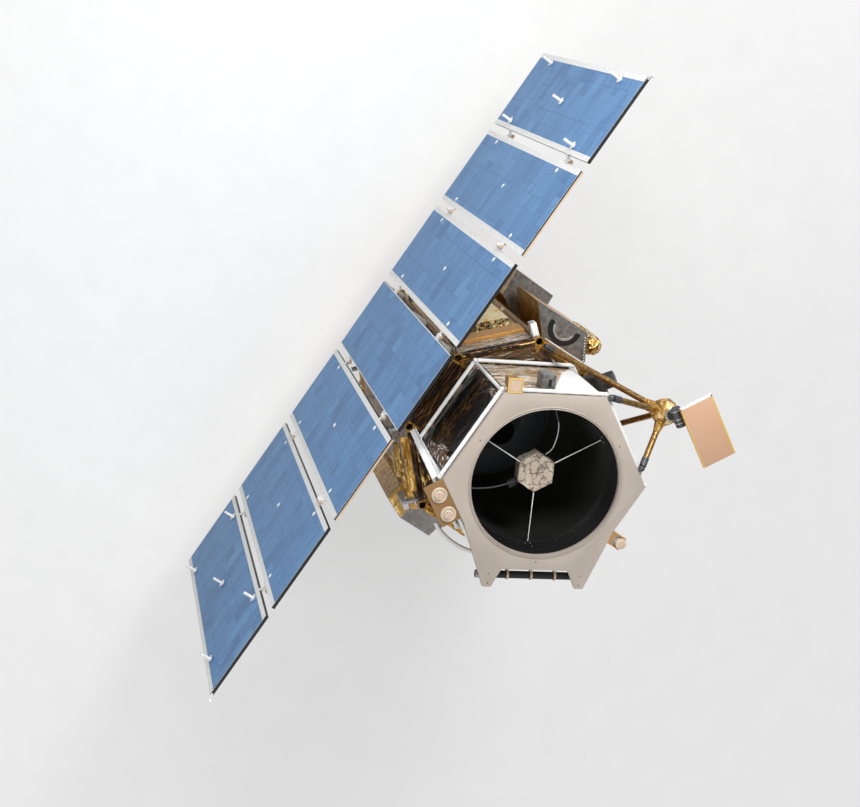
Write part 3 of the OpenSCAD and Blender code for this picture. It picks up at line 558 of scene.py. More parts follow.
def rounded(node, width, finish, body=ROOT):
    """A copy of a CAD node with its sharp edges rounded, which stands for it."""
    bm = bmesh.new()
    bm.from_mesh(frame["nodes"][node].data)
    bmesh.ops.remove_doubles(bm, verts=bm.verts, dist=1e-5)
    bmesh.ops.dissolve_limit(bm, angle_limit=math.radians(1.0), verts=bm.verts, edges=bm.edges)
    sharp = [e for e in bm.edges if e.is_manifold and e.calc_face_angle(0) > math.radians(25)]
    bmesh.ops.bevel(bm, geom=sharp, offset=width, segments=2, affect="EDGES", profile=0.5, material=-1,
                    clamp_overlap=True)
    made = finish_piece(node + "_finished", bm, finish, body, smooth=True)
    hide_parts(node)
    return made


def dress(node, finish):
    """Gives a CAD node its finish."""
    slots = frame["nodes"][node].data.materials
    slots.clear()
    slots.append(FINISH[finish])


def cable(name, points, radius, finish, body=ROOT):
    """A cable along a smooth line through its points."""
    curve = bpy.data.curves.new(name, "CURVE")
    curve.dimensions = "3D"
    curve.bevel_depth = radius
    curve.bevel_resolution = 3
    line = curve.splines.new("BEZIER")
    line.bezier_points.add(len(points) - 1)
    for knot, spot in zip(line.bezier_points, points):
        knot.co = spot
        knot.handle_left_type = knot.handle_right_type = "AUTO"
    line.resolution_u = 8
    curve.use_fill_caps = True
    made = bpy.data.objects.new(name, curve)
    bpy.context.scene.collection.objects.link(made)
    curve.materials.append(FINISH[finish])
    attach(made, body)
    return made


# ---------------------------------------------------------------- settings

FINISH = {}


def paint(name, description, code):
    """A colour that a user can set."""
    return FloatVectorProperty(name=name, description=description, subtype="COLOR", size=3, min=0, max=1,
                               default=linear(code)[:3])


def length(name, description, usual, low, high):
    """A size that a user can set, in metres."""
    return FloatProperty(name=name, description=description, subtype="DISTANCE", unit="LENGTH",
                         default=usual, min=low, max=high)


class SatelliteColours(bpy.types.PropertyGroup):
    """Colours that a user is likely to change."""

    plate: paint("Front plate", "Paint on the telescope's front plate", "#B9ADA2")
    antenna: paint("Antenna face", "Film over the gimballed antenna", "#CBA587")


class SatelliteSizes(bpy.types.PropertyGroup):
    """Sizes of the detail that is added to the CAD frame."""

    margin: length("Panel margin", "Bare strip along each side edge of a wing panel", 0.045, 0.01, 0.08)
    cell_t: length("Cell layer", "Thickness of the solar cells and their cover glass", 0.0012, 0.0005,
                   0.003)
    tape_t: length("Edge tape", "Thickness of the tape over a panel's front edge", 0.001, 0.0005, 0.003)
    cap_r: length("Hold-down cap", "Radius of the white cap over a hold-down bushing", 0.018, 0.01, 0.02)
    knob_r: length("Hinge knob", "Radius of the round damper at the end of a hinge", 0.017, 0.01, 0.018)
    soft_edge: length("Edge rounding", "Radius on machined edges", 0.0025, 0.001, 0.005)
    crumple: length("Foil relief", "Height of the folds in the foil blankets", 0.012, 0.002, 0.02)
    bolts: IntProperty(name="Ring bolts", description="Number of bolts round the spider ring", default=24,
                       min=6, max=48)


def settings():
    """The sizes in use."""
    return bpy.context.scene.satellite_sizes


# ---------------------------------------------------------------- pieces


class SATELLITE_OT_finishes(bpy.types.Operator):
    """Makes every material and gives the CAD nodes theirs"""

    bl_idname = "satellite.finishes"
    bl_label = "Finishes"

    def execute(self, context):
        FINISH.update(make_materials(context.scene.satellite_colours))
        plan = {
            "aluminium": ["separation_ring", "hold_down_cups", "azimuth_drive"],
            "amber": ["adapter_cone", "lower_deck", "side_walls", "upper_deck"],
            "gold": ["deck_beams", "right_equipment_box", "right_radiator_box", "foil_canister",
                     "left_equipment_box", "patch_antenna"],
            "gold_tape": ["omni_antenna"],
            "strut": ["corner_tubes", "antenna_truss"],
            "dull_metal": ["propellant_tank", "thrusters", "truss_fittings", "gimbal_yoke", "antenna_arm"],
            "radiator": ["radiator_panels"],
            "plate": ["front_plate", "aperture_lip"],
            "brown_foil": ["shroud_panels"],
            "vane": ["spider_vanes"],
            "white": ["shroud_posts", "shroud_frames", "handrail", "array_brackets",
                      "root_hinges", "inner_fittings_right", "middle_fittings_right", "inner_fittings_left",
                      "middle_fittings_left", "outer_fittings_right", "outer_fittings_left"],
            "black": ["torque_rod"],
            "liner": ["telescope_barrel", "spider_ring", "baffle_rings", "mirror_baffle"],
            "mirror": ["primary_mirror"],
            "crumpled": ["secondary_hub", "truss_hub"],
            "charcoal": ["star_tracker"],
            "grey": ["sensor_bracket"],
            "bronze": ["antenna_shelf"],
            "cream": ["domed_antennas"],
            "tan_tape": ["torque_rod_clamps"],
            "tan_face": ["antenna_panel"],
            "board": ["centre_panel"] + [f"{part}_panel_{side}" for part in ("inner", "middle", "outer")
                                         for side in ("right", "left")],
        }
        for finish, nodes in plan.items():
            for node in nodes:
                dress(node, finish)
        return {"FINISHED"}


def wing_bodies(side):
    """The three panels of a wing, from the root outwards, with the bodies they ride on."""
    return [(f"{part}_panel_{side}", f"wing_{side}_{part}") for part in ("inner", "middle", "outer")]


def joint(name):
    """The place of a joint's axis."""
    return next(Vector(j["pos_m"]) for j in frame["joints"] if j["name"] == name)


class SATELLITE_OT_solar_array(bpy.types.Operator):
    """Cells, edge tapes, hold-down caps, hinge dampers and back wiring of the seven panels"""

    bl_idname = "satellite.solar_array"
    bl_label = "Solar array"

    def execute(self, context):
        sizes = settings()
        self.panel(sizes, "centre_panel", ROOT, "carbon", False)
        for side in ("right", "left"):
            tapes = ["carbon", "tan_tape", "carbon"] if side == "right" else ["tan_tape", "carbon", "carbon"]
            for (node, body), tape in zip(wing_bodies(side), tapes):
                self.panel(sizes, node, body, tape, True)
            self.dampers(sizes, side)
        return {"FINISHED"}

    def panel(self, sizes, node, body, tape, wing):
        low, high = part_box(node)
        inset = sizes.margin if wing else 0.008
        bm = bmesh.new()
        block(bm, (low.x + inset, high.y, low.z + 0.006),
              (high.x - inset, high.y + sizes.cell_t, high.z - 0.006), soft=0.0004, segments=1)
        finish_piece(node + "_cells", bm, "cells", body)
        bm = bmesh.new()
        split = low.y + 0.55 * (high.y - low.y)
        for inner, outer in ((high.z - 0.001, high.z + sizes.tape_t), (low.z + 0.001, low.z - sizes.tape_t)):
            block(bm, (low.x + 0.001, low.y - 0.0008, min(inner, outer)),
                  (high.x - 0.001, split, max(inner, outer)), soft=0.0003, segments=1)
        finish_piece(node + "_edge_tape", bm, tape, body)
        bm = bmesh.new()
        middle = (low.x + high.x) / 2
        for spot in (-0.19, 0.19):
            block(bm, (middle + spot - 0.012, low.y - 0.0025, low.z + 0.05),
                  (middle + spot + 0.012, low.y, high.z - 0.05), soft=0.0008)
        for k in range(5):
            height = low.z + (k + 0.5) * (high.z - low.z) / 5
            block(bm, (low.x + 0.06, low.y - 0.0018, height - 0.009),
                  (high.x - 0.06, low.y, height + 0.009), soft=0.0006)
        finish_piece(node + "_harness", bm, "tan_tape", body)
        if wing and not node.startswith("outer"):
            bm = bmesh.new()
            for across in (-CAP_ACROSS, 0.0, CAP_ACROSS):
                for up in ((-CAP_UP, CAP_UP) if across else (0.0,)):
                    place = Matrix.Translation((middle + across, high.y + 0.003, CAP_MID_Z + up))
                    lathe(bm, [(0, 0.005), (sizes.cap_r * 0.6, 0.0045), (sizes.cap_r, 0.001),
                               (sizes.cap_r, 0), (0, 0)],
                          place=place @ Matrix.Rotation(-math.pi / 2, 4, "X"), steps=24)
            finish_piece(node + "_caps", bm, "white_film", body, smooth=True)

    def dampers(self, sizes, side):
        for name, body in (("wing_fold", ROOT), ("middle_fold", f"wing_{side}_inner"),
                           ("outer_fold", f"wing_{side}_middle")):
            axis = joint(f"{side}_{name}")
            bm = bmesh.new()
            covers = bmesh.new()
            for centre in (PANEL_MID_Z - HINGE_UP, PANEL_MID_Z + HINGE_UP):
                r = sizes.knob_r
                top = centre + 0.049
                lathe(bm, [(0, 0), (r * 0.6, 0), (r * 0.6, 0.006), (r, 0.010), (r, 0.020), (r * 0.7, 0.026),
                           (0, 0.028)], centre=(axis.x, axis.y, top), steps=24)
                lathe(bm, [(0, 0), (r * 0.5, 0), (r * 0.5, 0.008), (0, 0.008)],
                      centre=(axis.x, axis.y, centre - 0.057), steps=24)
                for lug in (-0.030, 0.030):
                    lathe(covers, [(0.0122, -0.014), (0.0140, -0.013), (0.0140, 0.013), (0.0122, 0.014),
                                   (0.0122, -0.014)], centre=(axis.x, axis.y, centre + lug), steps=24)
            finish_piece(f"{side}_{name}_dampers", bm, "tan_tape", body, smooth=True)
            finish_piece(f"{side}_{name}_collars", covers, "white", body, smooth=True)


class SATELLITE_OT_front_plate(bpy.types.Operator):
    """Front plate with softened edges, its double lip and its alignment holes"""

    bl_idname = "satellite.front_plate"
    bl_label = "Front plate"

    def execute(self, context):
        sizes = settings()
        rounded("front_plate", sizes.soft_edge, "plate")
        bm = bmesh.new()
        z = PLATE_Z
        lathe(bm, [(0.5502, z), (0.5502, z + 0.0085), (0.5515, z + 0.0098), (0.5550, z + 0.0098),
                   (0.5565, z + 0.0080), (0.5575, z + 0.0030), (0.5605, z + 0.0030), (0.5615, z + 0.0075),
                   (0.5630, z + 0.0085), (0.5665, z + 0.0085), (0.5680, z + 0.0070), (0.5718, z + 0.0015),
                   (0.5718, z), (0.5502, z)], steps=160)
        lip = finish_piece("aperture_lip_finished", bm, "plate", smooth=True)
        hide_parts("aperture_lip")
        bm = bmesh.new()
        for angle in VANES:
            lathe(bm, [(0, 0.0006), (0.0045, 0.0006), (0.0052, 0.0), (0, 0.0)],
                  place=turned(angle, (0.598, 0, z)), steps=20)
        for across in (-0.345, 0.345):
            for out in (0.70, 0.772):
                lathe(bm, [(0, 0.0006), (0.004, 0.0006), (0.0046, 0.0), (0, 0.0)],
                      place=turned(210, (out, across, z)), steps=20)
        finish_piece("plate_holes", bm, "black")
        return {"FINISHED"}


class SATELLITE_OT_telescope(bpy.types.Operator):
    """Inside of the telescope: faceted liner, ring bolts, foil-wrapped hub, vane shoes and cables"""

    bl_idname = "satellite.telescope"
    bl_label = "Telescope"

    def execute(self, context):
        sizes = settings()
        hub_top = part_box("secondary_hub")[1].z
        bm = bmesh.new()
        lathe(bm, band(0.588, 0.592, hub_top + 0.004, PLATE_Z - 0.045), steps=144)
        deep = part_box("baffle_rings")[0].z - 0.02
        lathe(bm, band(0.5590, 0.5610, deep, hub_top - 0.052), steps=144)
        finish_piece("barrel_liner", bm, "liner", smooth=True)
        bm = bmesh.new()
        for k in range(sizes.bolts):
            place = turned(360 / sizes.bolts * (k + 0.5), (0.566, 0, hub_top))
            lathe(bm, [(0, 0.008), (0.006, 0.0075), (0.0075, 0.0055), (0.0075, 0), (0, 0)], place=place,
                  steps=6)
        lathe(bm, band(0.5385, 0.5425, hub_top, hub_top + 0.004), steps=120)
        finish_piece("spider_ring_bolts", bm, "charcoal")
        bm = bmesh.new()
        for angle in VANES:
            for across, out in ((0.020, 0.548), (-0.020, 0.548), (0.034, 0.573)):
                lathe(bm, [(0, 0.010), (0.005, 0.009), (0.006, 0.006), (0.006, 0), (0, 0)],
                      place=turned(angle, (out, across, hub_top)), steps=12)
        finish_piece("vane_screws", bm, "aluminium", smooth=True)
        bm = bmesh.new()
        for angle in VANES:
            block(bm, (0.519, -0.016, hub_top - 0.045), (0.5345, 0.016, hub_top - 0.003), turned(angle),
                  0.002)
        finish_piece("vane_shoes", bm, "charcoal")
        self.chord_plate(hub_top)
        self.hub(hub_top)
        silver = [(0.146, 0.010, 3.995), (0.20, -0.004, 4.005), (0.262, 0.008, 4.01), (0.335, 0.038, 4.015),
                  (0.40, 0.085, 4.02), (0.455, 0.150, 4.022), (0.505, 0.21, 4.030), (0.53, 0.235, 4.036)]
        cable("hub_cable_silver", silver[:6], 0.0055, "aluminium")
        cable("hub_cable_sleeve", silver[4:], 0.009, "charcoal")
        dark = [(-0.135, 0.072, 3.99), (-0.205, 0.132, 4.0), (-0.278, 0.210, 4.01), (-0.34, 0.30, 4.018),
                (-0.385, 0.385, 4.030)]
        cable("hub_cable_dark", dark, 0.007, "charcoal")
        bm = bmesh.new()
        block(bm, (0.158, -0.028, 3.952), (0.225, 0.028, 3.992), turned(152), 0.003)
        finish_piece("hub_connector", bm, "black")
        return {"FINISHED"}

    def chord_plate(self, top):
        """A straight stiffener across the foot side of the mouth."""
        bm = bmesh.new()
        block(bm, (0.535, -0.190, top - 0.002), (0.585, 0.190, top + 0.006), turned(212), 0.001)
        finish_piece("mouth_stiffener", bm, "black")

    def hub(self, top):
        """The hub's foil: a hexagon cut into facets, pushed about like hand-pressed film."""
        bm = bmesh.new()
        bmesh.ops.create_cone(bm, cap_ends=True, segments=6, radius1=0.151, radius2=0.151, depth=0.112,
                              matrix=Matrix.Translation((0, 0, top - 0.054)))
        bmesh.ops.poke(bm, faces=[f for f in bm.faces if len(f.verts) == 6])
        bmesh.ops.subdivide_edges(bm, edges=bm.edges[:], cuts=11, use_grid_fill=True)
        bm.normal_update()
        moves = {v: v.normal * 0.006 * (crumple_height(v.co, 14.0, 3.0) - 0.35) for v in bm.verts}
        for v, move in moves.items():
            v.co += move
        hub = finish_piece("hub_foil", bm, "hub_film", smooth=True)
        bm = bmesh.new()
        lathe(bm, [(0.0, top - 0.135), (0.110, top - 0.135), (0.1125, top - 0.130), (0.1125, top - 0.108),
                   (0.0, top - 0.108)], steps=48)
        back = finish_piece("secondary_mirror_cell", bm, "black", smooth=True)
        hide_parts("secondary_hub")
        return back


class SATELLITE_OT_shroud(bpy.types.Operator):
    """Foil blankets on the six faces of the telescope shroud, with the white panel and corner strip"""

    bl_idname = "satellite.shroud"
    bl_label = "Shroud blankets"

    def execute(self, context):
        sizes = settings()
        low, high = DECK_Z + 0.082, PLATE_Z - 0.082
        finishes = {30: "mixed_streaks", 90: "black_foil", 150: "brown_streaks", 210: "amber", 270: "gold",
                    330: "amber"}
        for k, (angle, finish) in enumerate(finishes.items()):
            bm = bmesh.new()
            film(bm, [(SHROUD_FACE, -SHROUD_HALF, low), (SHROUD_FACE, SHROUD_HALF, low),
                      (SHROUD_FACE, SHROUD_HALF, high), (SHROUD_FACE, -SHROUD_HALF, high)], 0.012,
                 sizes.crumple, 9.0, k * 3.1)
            finish_piece(f"shroud_blanket_{k + 1}", bm, finish, smooth=True,
                         place=turned(angle))
        x = SHROUD_FACE + sizes.crumple + 0.0005
        bm = bmesh.new()
        film(bm, [(x, -SHROUD_HALF, 3.44), (x, -0.225, 3.63), (x, 0.0, high), (x, -SHROUD_HALF, high)],
             0.02, 0.003, 3.0, 7.0, 0.012)
        film(bm, [(x, -0.05, 4.165), (x, 0.16, 4.175), (x, 0.16, high), (x, -0.02, high)], 0.02, 0.003, 3.0,
             4.0, 0.012)
        finish_piece("shroud_white_panel", bm, "white_film", smooth=True, place=turned(30))
        bm = bmesh.new()
        film(bm, [(x, 0.285, 3.52), (x, 0.338, 3.58), (x, 0.338, 4.19), (x, 0.250, 4.11)], 0.010, 0.014,
             22.0, 2.0, 0.014, 0.4)
        film(bm, [(x, 0.225, 3.84), (x, 0.290, 3.70), (x, 0.280, 4.02), (x, 0.205, 4.09)], 0.010, 0.012,
             22.0, 5.0, 0.012, 0.4)
        film(bm, [(x, -0.338, 4.02), (x, -0.300, 3.98), (x, -0.285, 4.20), (x, -0.338, 4.21)], 0.010, 0.008,
             22.0, 6.0, 0.012, 0.4)
        finish_piece("shroud_silver_patch", bm, "silver_streaks", smooth=True,
                     place=turned(90))
        deck, top = DECK_Z + 0.012, PLATE_Z - 0.10
        bm = bmesh.new()
        film(bm, [(-0.345, 0.757, deck), (-0.432, 0.690, top), (-0.384, 0.662, top), (-0.309, 0.735, deck)],
             0.02, 0.002, 9.0, 1.0, 0.004)
        rod(bm, (-0.304, 0.734, deck), (-0.374, 0.666, top), 0.006, segments=10)
        finish_piece("shroud_corner_strip", bm, "white_film", smooth=True)
        return {"FINISHED"}


class SATELLITE_OT_bus(bpy.types.Operator):
    """Foil blankets on the bus walls, deck and deck beams"""

    bl_idname = "satellite.bus"
    bl_label = "Bus blankets"

    def execute(self, context):
        sizes = settings()
        half = 0.283
        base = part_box("side_walls")[0].z
        beam_low, beam_top = (corner.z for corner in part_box("deck_beams"))
        for k in range(8):
            angle = 45 * k
            place = turned(angle)
            bm = bmesh.new()
            relief_depth = 0.005 if angle in (45, 225, 270, 315) else sizes.crumple
            top = 2.50 if angle == 45 else beam_low - 0.012
            film(bm, [(WALL_FACE, -half, base + 0.01), (WALL_FACE, half, base + 0.01),
                      (WALL_FACE, half, top), (WALL_FACE, -half, top)], 0.016, relief_depth, 12.0, k * 5.3)
            # The wall at 45 degrees takes gold foil with a painted highlight.
            finish = {45: "painted_highlight_gold", 135: "amber_streaks", 225: "amber", 270: "amber",
                      315: "amber"}.get(angle, "gold")
            finish_piece(f"wall_blanket_{k + 1}", bm, finish, smooth=True, place=place)
            bm = bmesh.new()
            out = WALL_MID + 0.0255
            film(bm, [(out, -half, beam_low + 0.004), (out, half, beam_low + 0.004),
                      (out, half, beam_top - 0.002), (out, -half, beam_top - 0.002)], 0.010, 0.008, 16.0,
                 k * 2.9, 0.003)
            film(bm, [(WALL_MID + 0.024, -half, beam_top), (WALL_MID + 0.024, half, beam_top),
                      (WALL_MID - 0.024, half, beam_top), (WALL_MID - 0.024, -half, beam_top)], 0.010,
                 0.010, 16.0, k * 2.9 + 1, 0.003, 0.4)
            wrap = "brown_streaks" if angle in (45, 90, 135) else "gold"
            finish_piece(f"beam_foil_{k + 1}", bm, wrap, smooth=True, place=place)
            bm = bmesh.new()
            film(bm, [(WALL_MID - 0.030, -half, DECK_Z), (WALL_MID - 0.030, half, DECK_Z),
                      (0.630, half, DECK_Z), (0.630, -half, DECK_Z)], 0.012, 0.009, 12.0, k * 4.1, 0.002,
                 0.3)
            finish_piece(f"deck_blanket_{k + 1}", bm,
                         "deck_streaks" if angle in (0, 45) else "brown_streaks", smooth=True,
                         place=place)
        self.diagonal_wall(half, beam_low)
        self.ribbons()
        self.tube_ends()
        return {"FINISHED"}

    def diagonal_wall(self, half, beam_low):
        """Bands on the wall beside the right box: rolled blanket edge, flat gold strip, dark recess."""
        place = turned(45)
        bm = bmesh.new()
        film(bm, [(WALL_FACE, -half, 2.50), (WALL_FACE, half, 2.50), (WALL_FACE, half, 2.80),
                  (WALL_FACE, -half, 2.80)], 0.010, 0.024, 22.0, 3.0, 0.002)
        for low, high in (((0.02, 1.85), (0.06, 2.49)), ((0.13, 2.0), (0.16, 2.49))):
            film(bm, [(WALL_FACE + 0.006, low[0], low[1]), (WALL_FACE + 0.006, high[0], low[1]),
                      (WALL_FACE + 0.006, high[0], high[1]), (WALL_FACE + 0.006, low[0], high[1])], 0.012,
                 0.016, 20.0, 5.0, 0.002)
        finish_piece("diagonal_wall_roll", bm, "fine_gold", smooth=True, place=place)
        bm = bmesh.new()
        block(bm, (WALL_FACE, -half, 2.835), (WALL_FACE + 0.030, half, 3.020), place, 0.004)
        finish_piece("diagonal_wall_strip", bm, "gold_tape")
        bm = bmesh.new()
        film(bm, [(WALL_FACE, -half, 3.025), (WALL_FACE, half, 3.025), (WALL_FACE, half, beam_low - 0.012),
                  (WALL_FACE, -half, beam_low - 0.012)], 0.012, 0.010, 12.0, 8.0, 0.002)
        bmesh.ops.transform(bm, matrix=place, verts=bm.verts)
        edging = bmesh.new()
        rod(edging, (WALL_MID + 0.006, -half, DECK_Z + 0.006), (WALL_MID + 0.006, half, DECK_Z + 0.006),
            0.009)
        bmesh.ops.transform(edging, matrix=place, verts=edging.verts)
        finish_piece("diagonal_beam_edging", edging, "creased_tape", smooth=True)
        finish_piece("diagonal_wall_recess", bm, "mixed_streaks", smooth=True)

    def ribbons(self):
        """Loose strips of blanket wrapped along and below the beam beside the left box."""
        bm = bmesh.new()
        strips = [
            [(-0.430, 0.790, 3.335), (-0.742, 0.470, 3.320), (-0.700, 0.430, 3.350), (-0.385, 0.745, 3.350)],
            [(-0.502, 0.762, 3.200), (-0.684, 0.572, 3.180), (-0.650, 0.560, 3.220), (-0.475, 0.750, 3.230)],
            [(-0.675, 0.585, 3.190), (-0.815, 0.405, 3.200), (-0.775, 0.375, 3.250), (-0.655, 0.545, 3.230)],
            [(-0.600, 0.662, 3.050), (-0.748, 0.518, 3.000), (-0.712, 0.492, 3.100), (-0.545, 0.705, 3.100)],
            [(-0.820, 0.400, 3.100), (-0.900, 0.290, 3.060), (-0.850, 0.270, 3.150), (-0.790, 0.420, 3.150)],
        ]
        for k, strip in enumerate(strips):
            film(bm, strip, 0.008, 0.020, 22.0, k * 3.7, 0.006, 0.22)
        finish_piece("left_foil_ribbons", bm, "gold_streaks", smooth=True)
        bm = bmesh.new()
        for k, strip in enumerate([
            [(-0.490, 0.625, 3.325), (-0.615, 0.500, 3.325), (-0.650, 0.385, 3.325), (-0.560, 0.375, 3.325)],
            [(-0.455, 0.640, 3.322), (-0.520, 0.560, 3.322), (-0.500, 0.500, 3.322), (-0.430, 0.600, 3.322)],
        ]):
            film(bm, strip, 0.008, 0.016, 20.0, k * 2.3, 0.006, 0.3)
        finish_piece("left_deck_foil", bm, "gold_streaks", smooth=True)

    def tube_ends(self):
        """Rolled rims and dark bores at the open tops of the corner tubes; the bores' dark brown lining is a
        painted shade.
        """
        rims, bores = bmesh.new(), bmesh.new()
        wraps = bmesh.new()
        for k in (0, 3):
            lathe(wraps, [(0.0335, 1.35 + 0.02 * j - DECK_Z) for j in range(96)],
                  place=turned(22.5 + 45 * k, (TUBE_CIRCLE, 0, DECK_Z)), steps=20)
        wraps.normal_update()
        for v in wraps.verts:
            v.co += v.normal * 0.006 * crumple_height(v.co, 16.0, 2.0)
        bmesh.ops.solidify(wraps, geom=wraps.faces[:], thickness=-0.001)
        finish_piece("tube_wraps", wraps, "wrap_gold", smooth=True)
        for k in range(8):
            place = turned(22.5 + 45 * k, (TUBE_CIRCLE, 0, DECK_Z))
            lathe(rims, [(0.0270, -0.010), (0.0262, 0.0), (0.0280, 0.004), (0.0325, 0.004), (0.0345, 0.0),
                         (0.0338, -0.012), (0.0270, -0.010)], place=place, steps=32)
            # Painted shade: a dark brown lining inside each tube's bore.
            lathe(bores, band(0.0266, 0.0269, -0.105, -0.012), place=place, steps=24)
        finish_piece("tube_rims", rims, "gold", smooth=True)
        finish_piece("tube_bores_painted_shade", bores, "brown_foil", smooth=True)


def top_plate(name, node, thickness, inset, finish):
    """A plate over a box's flat top, cut to the top's own outline."""
    bm = bmesh.new()
    bm.from_mesh(frame["nodes"][node].data)
    bmesh.ops.remove_doubles(bm, verts=bm.verts, dist=1e-5)
    bm.normal_update()
    top = max(v.co.z for v in bm.verts)
    spare = [f for f in bm.faces if f.normal.z < 0.9 or f.calc_center_median().z < top - 0.001]
    bmesh.ops.delete(bm, geom=spare, context="FACES")
    bmesh.ops.dissolve_limit(bm, angle_limit=0.02, verts=bm.verts, edges=bm.edges)
    if inset:
        rim = bmesh.ops.inset_region(bm, faces=bm.faces[:], thickness=inset)["faces"]
        bmesh.ops.delete(bm, geom=rim, context="FACES")
    raised = bmesh.ops.extrude_face_region(bm, geom=bm.faces[:])["geom"]
    verts = [g for g in raised if isinstance(g, bmesh.types.BMVert)]
    bmesh.ops.translate(bm, vec=(0, 0, thickness), verts=verts)
    sharp = [e for e in bm.edges if e.is_manifold and e.calc_face_angle(0) > 1.0]
    bmesh.ops.bevel(bm, geom=sharp, offset=thickness * 0.3, segments=2, affect="EDGES", profile=0.5,
                    material=-1)
    return finish_piece(name, bm, finish)


class SATELLITE_OT_equipment(bpy.types.Operator):
    """Equipment boxes beside the bus, the foil canister and the white brackets"""

    bl_idname = "satellite.equipment"
    bl_label = "Equipment boxes"

    def execute(self, context):
        self.right_box()
        top_plate("right_radiator_plate", "right_radiator_box", 0.006, 0.012, "grey")
        top_plate("left_box_plate", "left_equipment_box", 0.005, 0.012, "pale_grey")
        self.canister()
        self.left_side()
        return {"FINISHED"}

    def right_box(self):
        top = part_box("right_equipment_box")[1].z
        top_plate("right_box_plate", "right_equipment_box", 0.006, 0.0, "grey")
        centre, face = (0.955, 0.020), top + 0.006
        bm = bmesh.new()
        start = spun((*centre, face), 88)
        lathe(bm, band(0.098, 0.142, 0.0, 0.0014), place=start, steps=40, sweep=195)
        finish_piece("right_box_recess", bm, "carbon")
        bm = bmesh.new()
        for angle in (118, 150, 182, 214, 246):
            place = spun((*centre, face), angle)
            block(bm, (0.080, -0.026, 0.0), (0.098, 0.026, 0.004), place, 0.001)
        finish_piece("right_box_recess_facets", bm, "radiator")
        bm = bmesh.new()
        for k in range(9):
            spot = Vector((0.990, -0.165)).lerp(Vector((0.828, -0.268)), k / 8)
            lathe(bm, [(0, 0.003), (0.0045, 0.0025), (0.006, 0), (0, 0)], centre=(spot.x, spot.y, face),
                  steps=12)
        finish_piece("right_box_rivets", bm, "white", smooth=True)
        bm = bmesh.new()
        rod(bm, (0.800, 0.115, face), (0.812, -0.270, face), 0.006, segments=10)
        finish_piece("right_box_edge_tube", bm, "white", smooth=True)
        bm = bmesh.new()
        block(bm, (-0.074, -0.025, 3.170), (0.045, 0.025, 3.262), spun((0.832, 0.388, 0), 51), 0.004)
        finish_piece("right_tube_bracket", bm, "white")

    def canister(self):
        low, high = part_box("foil_canister")
        centre = ((low.x + high.x) / 2, (low.y + high.y) / 2, 0)
        r = (high.x - low.x) / 2 - 0.004
        bm = bmesh.new()
        rings = [(0, high.z), (r * 0.45, high.z - 0.004), (r * 0.8, high.z - 0.022), (r, high.z - 0.06)]
        rings += [(r, high.z - 0.06 - 0.02 * k) for k in range(1, 28)] + [(r, low.z), (0, low.z)]
        lathe(bm, rings, centre, steps=72)
        bm.normal_update()
        moves = {v: v.normal * 0.010 * (crumple_height(v.co, 22.0, 4.0) - 0.6) for v in bm.verts}
        for v, move in moves.items():
            v.co += move
        made = finish_piece("canister_foil", bm, "fine_gold", smooth=True)
        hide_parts("foil_canister")

    def left_side(self):
        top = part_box("left_equipment_box")[1].z
        bm = bmesh.new()
        place = spun((-0.927, 0.200, 0), -36)
        block(bm, (-0.056, -0.050, top), (0.056, 0.050, top + 0.190), place, 0.003)
        block(bm, (-0.056, 0.030, top + 0.188), (0.056, 0.050, top + 0.204), place, 0.002)
        block(bm, (-0.056, -0.004, top + 0.188), (0.056, 0.010, top + 0.204), place, 0.002)
        finish_piece("left_white_unit", bm, "white_film")
        bm = bmesh.new()
        block(bm, (-0.050, 0.012, top + 0.1895), (0.050, 0.028, top + 0.1915), place, 0.0005)
        finish_piece("left_white_unit_slot", bm, "charcoal")
        bm = bmesh.new()
        film(bm, [(-1.098, 0.118, top + 0.006), (-0.890, 0.100, top + 0.006), (-0.866, 0.294, top + 0.006),
                  (-1.016, 0.308, top + 0.006)], 0.010, 0.012, 14.0, 1.0, 0.006, 0.4)
        film(bm, [(-0.890, 0.100, top + 0.006), (-0.800, 0.205, top + 0.006), (-0.800, 0.236, top + 0.006),
                  (-0.866, 0.294, top + 0.006)], 0.010, 0.008, 14.0, 3.0, 0.006, 0.4)
        finish_piece("left_box_foil_top", bm, "creased_gold", smooth=True)
        bm = bmesh.new()
        film(bm,
             [(-0.625, 0.595, 2.92), (-0.590, 0.665, 2.98), (-0.680, 0.590, 2.86), (-0.770, 0.495, 2.84)],
             0.012, 0.018, 12.0, 5.0, 0.004)
        finish_piece("left_hanging_foil", bm, "gold", smooth=True)


